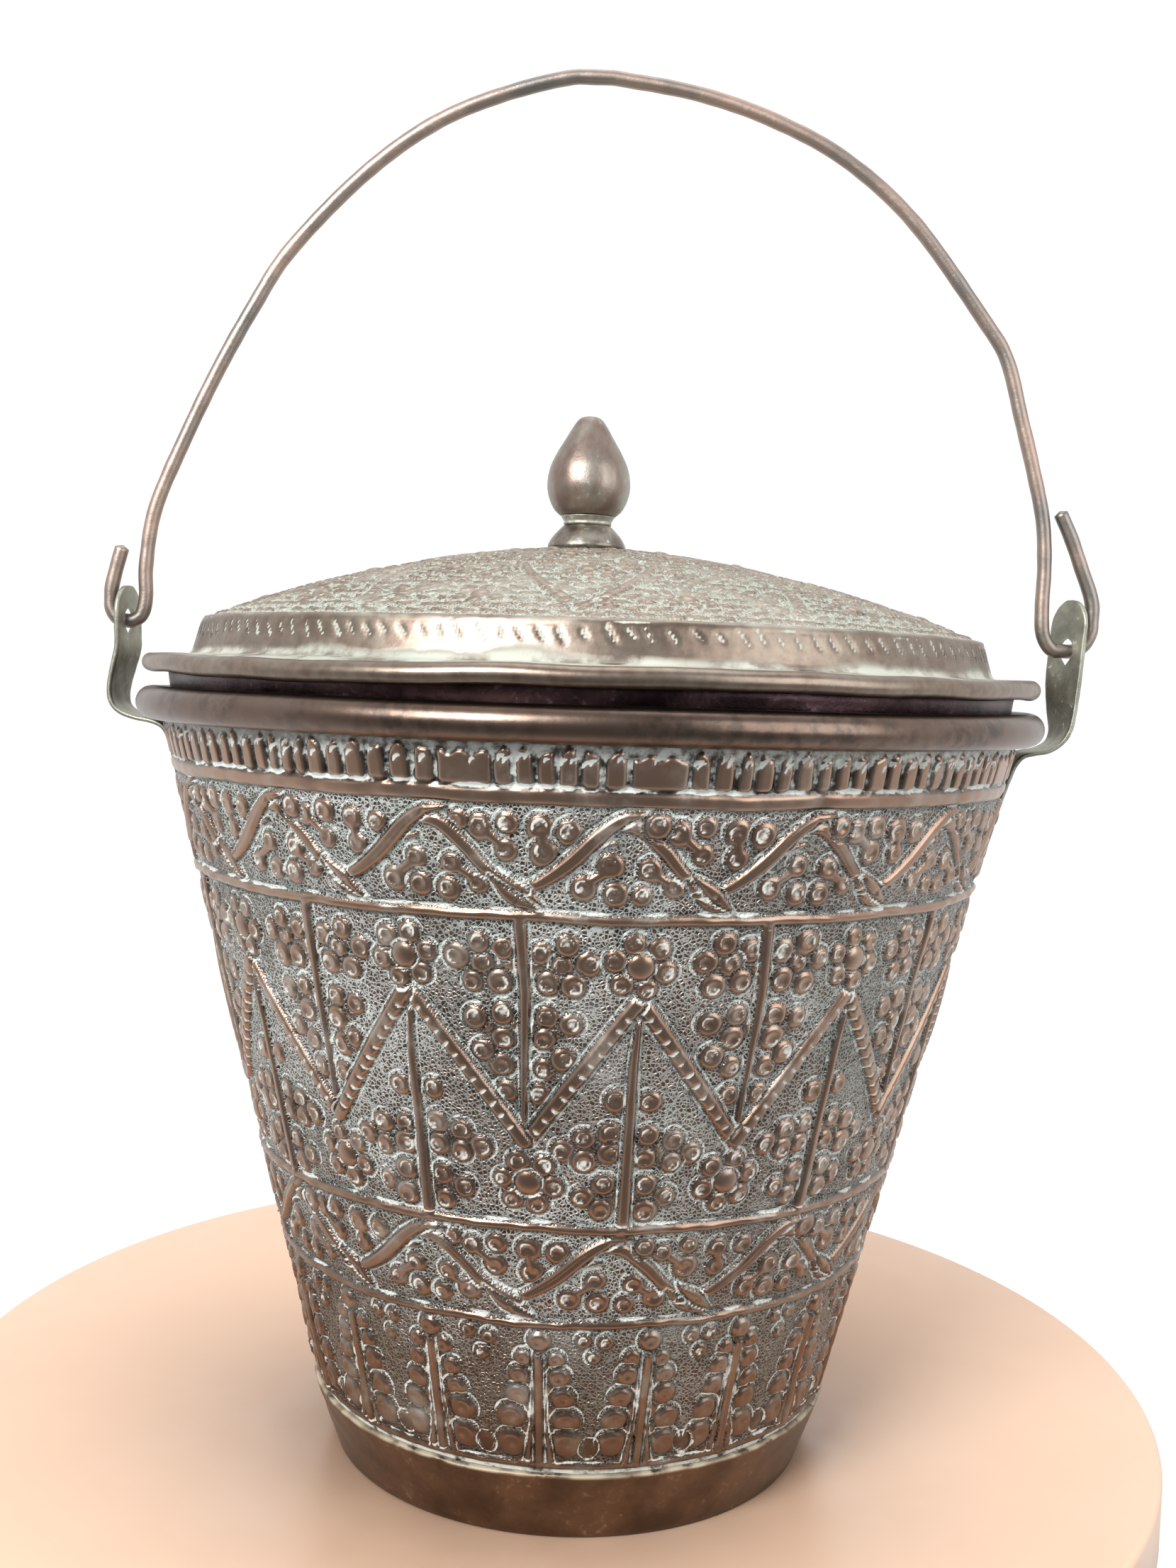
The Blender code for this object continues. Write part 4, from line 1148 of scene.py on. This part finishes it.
def chased_copper(name):
    """Rubbed brown copper with pale residue in its hollows and between the punched cells of its ground, with
    painted shade darkening its creases and its lower part.
    """
    s = Shader(name)
    ground, crevice = s.attribute("ground"), s.attribute("crevice")
    line, high, inside = s.attribute("chalk"), s.attribute("high"), s.attribute("inside")
    broad, fine = s.noise(21.0, 3.0), s.noise(330.0, 4.0, 0.6)
    cells = s.cells(1080.0)
    net = s.span(cells, 0.02, 0.24, 0.76, 0.0)
    patch = s.span(broad, 0.34, 0.68, 0.6, 1.15)
    bed = s.maths("MULTIPLY", ground, s.maths("MULTIPLY", net, patch))
    # Painted shade: fewer pale cells towards the bottom of the wall.
    bed = s.maths("MULTIPLY", bed, s.span(s.height(), 0.015, 0.105, 0.4, 1.0))
    edge = s.maths("MULTIPLY", crevice, s.span(fine, 0.34, 0.66, 0.0, 0.42))
    rough_line = s.maths("ADD", line, s.span(fine, 0.3, 0.7, -0.25, 0.25, False))
    drawn = s.span(rough_line, 0.36, 0.78, 0.0, 0.95)
    above = s.span(s.height(), 0.193, 0.195, 1.0, 0.15)
    haze = s.maths("MULTIPLY", s.span(s.noise(85.0, 4.0, 0.6), 0.42, 0.8, 0.0, 0.38), above)
    deposit = s.maths("MAXIMUM", s.maths("MAXIMUM", bed, edge), s.maths("MAXIMUM", drawn, haze))
    deposit = s.maths("MULTIPLY", deposit, s.span(inside, 0.2, 0.8, 1.0, 0.25), clamp=True)
    tone = s.mix(s.span(fine, 0.35, 0.65), DARK, BROWN)
    tone = s.mix(s.span(s.noise(55.0, 4.0), 0.3, 0.7), tone, BROWN)
    bright = s.maths("MULTIPLY", s.span(high, 0.05, 0.8), s.span(broad, 0.25, 0.6, 0.6, 1.0))
    metal = s.mix(bright, tone, COPPER)
    # Painted shade: the metal darkens towards the bottom of the wall.
    metal = s.mix(s.span(s.height(), 0.0, 0.13, 0.75, 0.0), metal, (0.085, 0.056, 0.042))
    # Painted shade: the crevice mask darkens the metal in creases to near black.
    metal = s.mix(s.maths("MULTIPLY", crevice, 0.85), metal, (0.022, 0.016, 0.013))
    white = s.mix(s.span(s.noise(34.0, 2.0), 0.4, 0.65), CHALK, GREEN_CHALK)
    white = s.mix(drawn, white, (0.65, 0.68, 0.64))
    return s.chased(metal, deposit, white, cells, fine, 0.30, 0.75)


def lid_copper(name):
    """The same copper under more pale residue, with dust on its flange."""
    s = Shader(name)
    ground, crevice = s.attribute("ground"), s.attribute("crevice")
    line, high, inside = s.attribute("chalk"), s.attribute("high"), s.attribute("inside")
    dust = s.attribute("dust")
    broad, fine = s.noise(24.0, 3.0), s.noise(300.0, 4.0, 0.6)
    cells = s.cells(1100.0)
    net = s.span(cells, 0.03, 0.3, 1.0, 0.35)
    bed = s.maths("MULTIPLY", ground, s.maths("MULTIPLY", net, s.span(broad, 0.3, 0.65, 0.7, 1.1)))
    rough_line = s.maths("ADD", s.maths("MAXIMUM", line, crevice), s.span(fine, 0.3, 0.7, -0.25, 0.25, False))
    drawn = s.span(rough_line, 0.34, 0.8, 0.0, 0.95)
    powder = s.maths("MULTIPLY", dust, s.span(s.noise(120.0, 5.0, 0.65), 0.32, 0.58, 0.3, 0.95))
    haze = s.span(s.noise(70.0, 4.0, 0.6), 0.3, 0.72, 0.12, 0.62)
    haze = s.maths("MULTIPLY", haze, s.span(s.height(), 0.2190, 0.2200, 0.3, 1.0))
    haze = s.maths("MULTIPLY", haze, s.span(high, 0.1, 0.8, 1.0, 0.35))
    deposit = s.maths("MAXIMUM", s.maths("MAXIMUM", bed, drawn), s.maths("MAXIMUM", powder, haze))
    deposit = s.maths("MULTIPLY", deposit, s.span(inside, 0.2, 0.8, 1.0, 0.15), clamp=True)
    tone = s.mix(s.span(fine, 0.3, 0.7), BROWN, (0.26, 0.195, 0.152))
    metal = s.mix(s.maths("MULTIPLY", s.span(high, 0.05, 0.7), 0.8), tone, (0.42, 0.305, 0.238))
    white = s.mix(s.span(broad, 0.4, 0.62), (0.48, 0.495, 0.43), (0.40, 0.44, 0.375))
    return s.chased(metal, deposit, white, cells, fine, 0.33, 0.8)


def plain_copper(name, dark, light, pale, roughness, pale_amount, scale=60.0, grain=(1.0, 1.0, 1.0)):
    """Smooth worn metal: two tones in soft patches, fine scratches, and a little pale residue."""
    s = Shader(name)
    broad = s.noise(scale, 4.0, 0.6, grain)
    fine = s.noise(520.0, 5.0, 0.65)
    tone = s.mix(s.span(broad, 0.32, 0.68), dark, light)
    crust = s.span(s.maths("ADD", fine, s.maths("MULTIPLY", broad, 0.6)), 0.88, 1.08, 0.0, pale_amount)
    drawn = s.maths("MULTIPLY", s.attribute("chalk"), s.span(s.noise(260.0, 3.0), 0.3, 0.5))
    crust = s.maths("MAXIMUM", crust, drawn, clamp=True)
    return s.set(
        Base_Color=s.mix(crust, tone, pale),
        Metallic=s.span(crust, 0.1, 0.9, 1.0, 0.15),
        Roughness=s.span(s.maths("ADD", broad, crust), 0.3, 1.1, *roughness),
        Normal=s.bump(s.maths("ADD", fine, broad), 0.00018, 0.55),
    )


def dress(obj, material):
    obj.data.materials.clear()
    obj.data.materials.append(material)


# Build


def attach(obj, body, slot, material, *nodes):
    dress(obj, material)
    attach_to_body(obj, body)
    if nodes:
        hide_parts(*nodes)


wall_copper = chased_copper("wall_copper_worked")
lid_metal = lid_copper("lid_copper_worked")
# The foot's own worn brown, darkened and warmed as painted shade and a painted reflection of the warm table
# top.
foot_copper = plain_copper(
    "foot_copper_worn_shaded", (0.092, 0.062, 0.043), (0.178, 0.116, 0.08), (0.42, 0.36, 0.26), (0.32, 0.52), 0.35)
ear_metal = plain_copper(
    "ear_metal_worn", (0.25, 0.25, 0.205), (0.45, 0.45, 0.375), (0.60, 0.61, 0.52), (0.45, 0.68), 0.85, 90.0)
rivet_metal = plain_copper(
    "rivet_copper_worn", (0.16, 0.13, 0.10), (0.34, 0.29, 0.24), (0.55, 0.55, 0.49), (0.35, 0.55), 0.6, 180.0)
bail_copper = plain_copper(
    "bail_copper_worn", (0.25, 0.235, 0.215), (0.44, 0.325, 0.272), (0.45, 0.48, 0.45),
    (0.42, 0.62), 0.35, 34.0)
collar_copper = plain_copper(
    "collar_copper_dark", (0.022, 0.014, 0.016), (0.095, 0.056, 0.062), (0.34, 0.26, 0.28),
    (0.30, 0.5), 0.4, 75.0)
knob_copper = plain_copper(
    "knob_copper_worn", (0.22, 0.145, 0.122), (0.37, 0.355, 0.305), (0.50, 0.52, 0.45),
    (0.40, 0.56), 0.6, 70.0, grain=(1.0, 1.0, 0.5))
knob_foot_copper = plain_copper(
    "knob_foot_crusted", (0.17, 0.14, 0.118), (0.44, 0.41, 0.35), (0.64, 0.64, 0.57), (0.35, 0.6), 1.0, 120.0)
ring_metal = plain_copper(
    "knob_ring_crusted", (0.34, 0.32, 0.27), (0.58, 0.57, 0.50), (0.72, 0.72, 0.65), (0.5, 0.7), 1.0, 200.0)
floor_copper = plain_copper(
    "floor_copper_dull", (0.06, 0.042, 0.032), (0.17, 0.115, 0.085), (0.40, 0.38, 0.32), (0.35, 0.6), 0.4)
wire_steel = plain_copper(
    "core_wire_dull", (0.09, 0.07, 0.055), (0.22, 0.17, 0.135), (0.4, 0.38, 0.33), (0.4, 0.6), 0.4)

attach(make_wall(), "pail", "wall_copper", wall_copper, "wall")
attach(make_foot(), "pail", "foot_copper", foot_copper, "foot_band")
attach(make_ear("ear_left_worn", LEFT_EAR), "pail", "ear_metal", ear_metal, "ear_left")
attach(make_ear("ear_right_worn", RIGHT_EAR), "pail", "ear_metal", ear_metal, "ear_right")
for side_word, side in (("left", -1.0), ("right", 1.0)):
    for level_word, level in zip(("lower", "upper"), RIVET_Z):
        node = "rivet_%s_%s" % (side_word, level_word)
        attach(make_rivet(node, side, level), "pail", "rivet_copper", rivet_metal, node)
attach(make_bail(), "bail", "bail_copper", bail_copper, "bail")
attach(make_lid(), "lid", "lid_copper", lid_metal, "lid_dome")
attach(make_collar(), "lid", "collar_copper", collar_copper, "lid_collar")
knob = make_knob()
attach(knob["foot"], "lid", "knob_copper", knob_foot_copper, "finial_foot")
attach(knob["ring"], "lid", "knob_copper", ring_metal, "finial_ring")
attach(knob["bulb"], "lid", "knob_copper", knob_copper, "finial_bulb")
dress(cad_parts["base_disc"], floor_copper)
for node in ("rim_wire", "lid_edge_wire", "finial_stud", "stud_washer"):
    dress(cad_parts[node], wire_steel)


# Table top, light and camera


TABLE_R, TABLE_T, TABLE_EDGE_R = 176.0, 18.0, 2.0
TABLE_AT = (-6.2, 35.6, -0.02)
CAMERA_AT, CAMERA_PITCH, CAMERA_ROLL = (0.0, -0.4370, 0.20705), 0.065, -0.0329
# Lights as (name, place, target, size, watts), in metres.
LIGHTS = (
    ("key", (-0.70, -1.15, 0.95), (0.0, 0.0, 0.13), (0.7, 0.7), 31.0),
    ("top", (0.1, 0.15, 1.35), (0.0, 0.0, 0.2), (0.9, 0.7), 3.0),
    ("fill", (0.95, -0.8, 0.55), (0.0, 0.0, 0.12), (0.9, 1.1), 9.0),
)


def make_floor():
    """A plain pale round table top with a soft edge."""
    rim = arc((TABLE_R - TABLE_EDGE_R, -TABLE_EDGE_R), TABLE_EDGE_R, 90.0, 0.0, 8)
    profile = np.vstack([[(0.1, 0.0)], rim, [(TABLE_R, -TABLE_T)], [(0.1, -TABLE_T)]])
    top = turned("floor_top", profile[::-1], 160)
    top.location = Vector(TABLE_AT) * MM
    s = Shader("floor_pale")
    tone = s.mix(s.span(s.noise(6.0, 3.0), 0.3, 0.7), (0.70, 0.47, 0.33), (0.74, 0.51, 0.365))
    s.set(Base_Color=tone, Roughness=s.span(s.noise(60.0, 3.0), 0.3, 0.7, 0.32, 0.42))
    dress(top, s.material)


def area_light(name, place_m, target_m, size, watts):
    data = bpy.data.lights.new(name, "AREA")
    data.shape = "RECTANGLE"
    data.size, data.size_y = size
    data.energy = watts
    obj = bpy.data.objects.new(name, data)
    obj.location = place_m
    obj.rotation_euler = (Vector(target_m) - Vector(place_m)).to_track_quat("-Z", "Y").to_euler()
    bpy.context.scene.collection.objects.link(obj)


def make_world():
    """A bright room: white behind and above the bucket, darker on the near side."""
    world = bpy.data.worlds.new("studio")
    world.use_nodes = True
    tree = world.node_tree
    coords = tree.nodes.new("ShaderNodeTexCoord")
    split = tree.nodes.new("ShaderNodeSeparateXYZ")
    tree.links.new(coords.outputs["Generated"], split.inputs[0])
    near = tree.nodes.new("ShaderNodeMapRange")
    near.interpolation_type = "SMOOTHSTEP"
    for key, value in {"From Min": -0.75, "From Max": 0.25, "To Min": 0.24, "To Max": 1.05}.items():
        near.inputs[key].default_value = value
    tree.links.new(split.outputs["Y"], near.inputs["Value"])
    background = tree.nodes["Background"]
    tree.links.new(near.outputs["Result"], background.inputs["Color"])
    background.inputs["Strength"].default_value = 1.0
    bpy.context.scene.world = world


def make_camera():
    """Slightly above the rim and close to the bucket, looking down a little, rolled a little."""
    roll = CAMERA_ROLL
    forward = Vector((0.0, math.cos(CAMERA_PITCH), -math.sin(CAMERA_PITCH)))
    right = Vector((1.0, 0.0, 0.0))
    down = forward.cross(right)
    across = right * math.cos(roll) + down * math.sin(roll)
    lower = down * math.cos(roll) - right * math.sin(roll)
    data = bpy.data.cameras.new("camera")
    data.sensor_width = 36.0
    data.lens = 36.62
    data.clip_start = 0.01
    camera = bpy.data.objects.new("camera", data)
    turn = Matrix((across, -lower, -forward)).transposed().to_4x4()
    camera.matrix_world = Matrix.Translation(Vector(CAMERA_AT)) @ turn
    bpy.context.scene.collection.objects.link(camera)
    bpy.context.scene.camera = camera


make_floor()
make_world()
for light in LIGHTS:
    area_light(*light)
make_camera()
bpy.context.scene.view_settings.view_transform = "Standard"
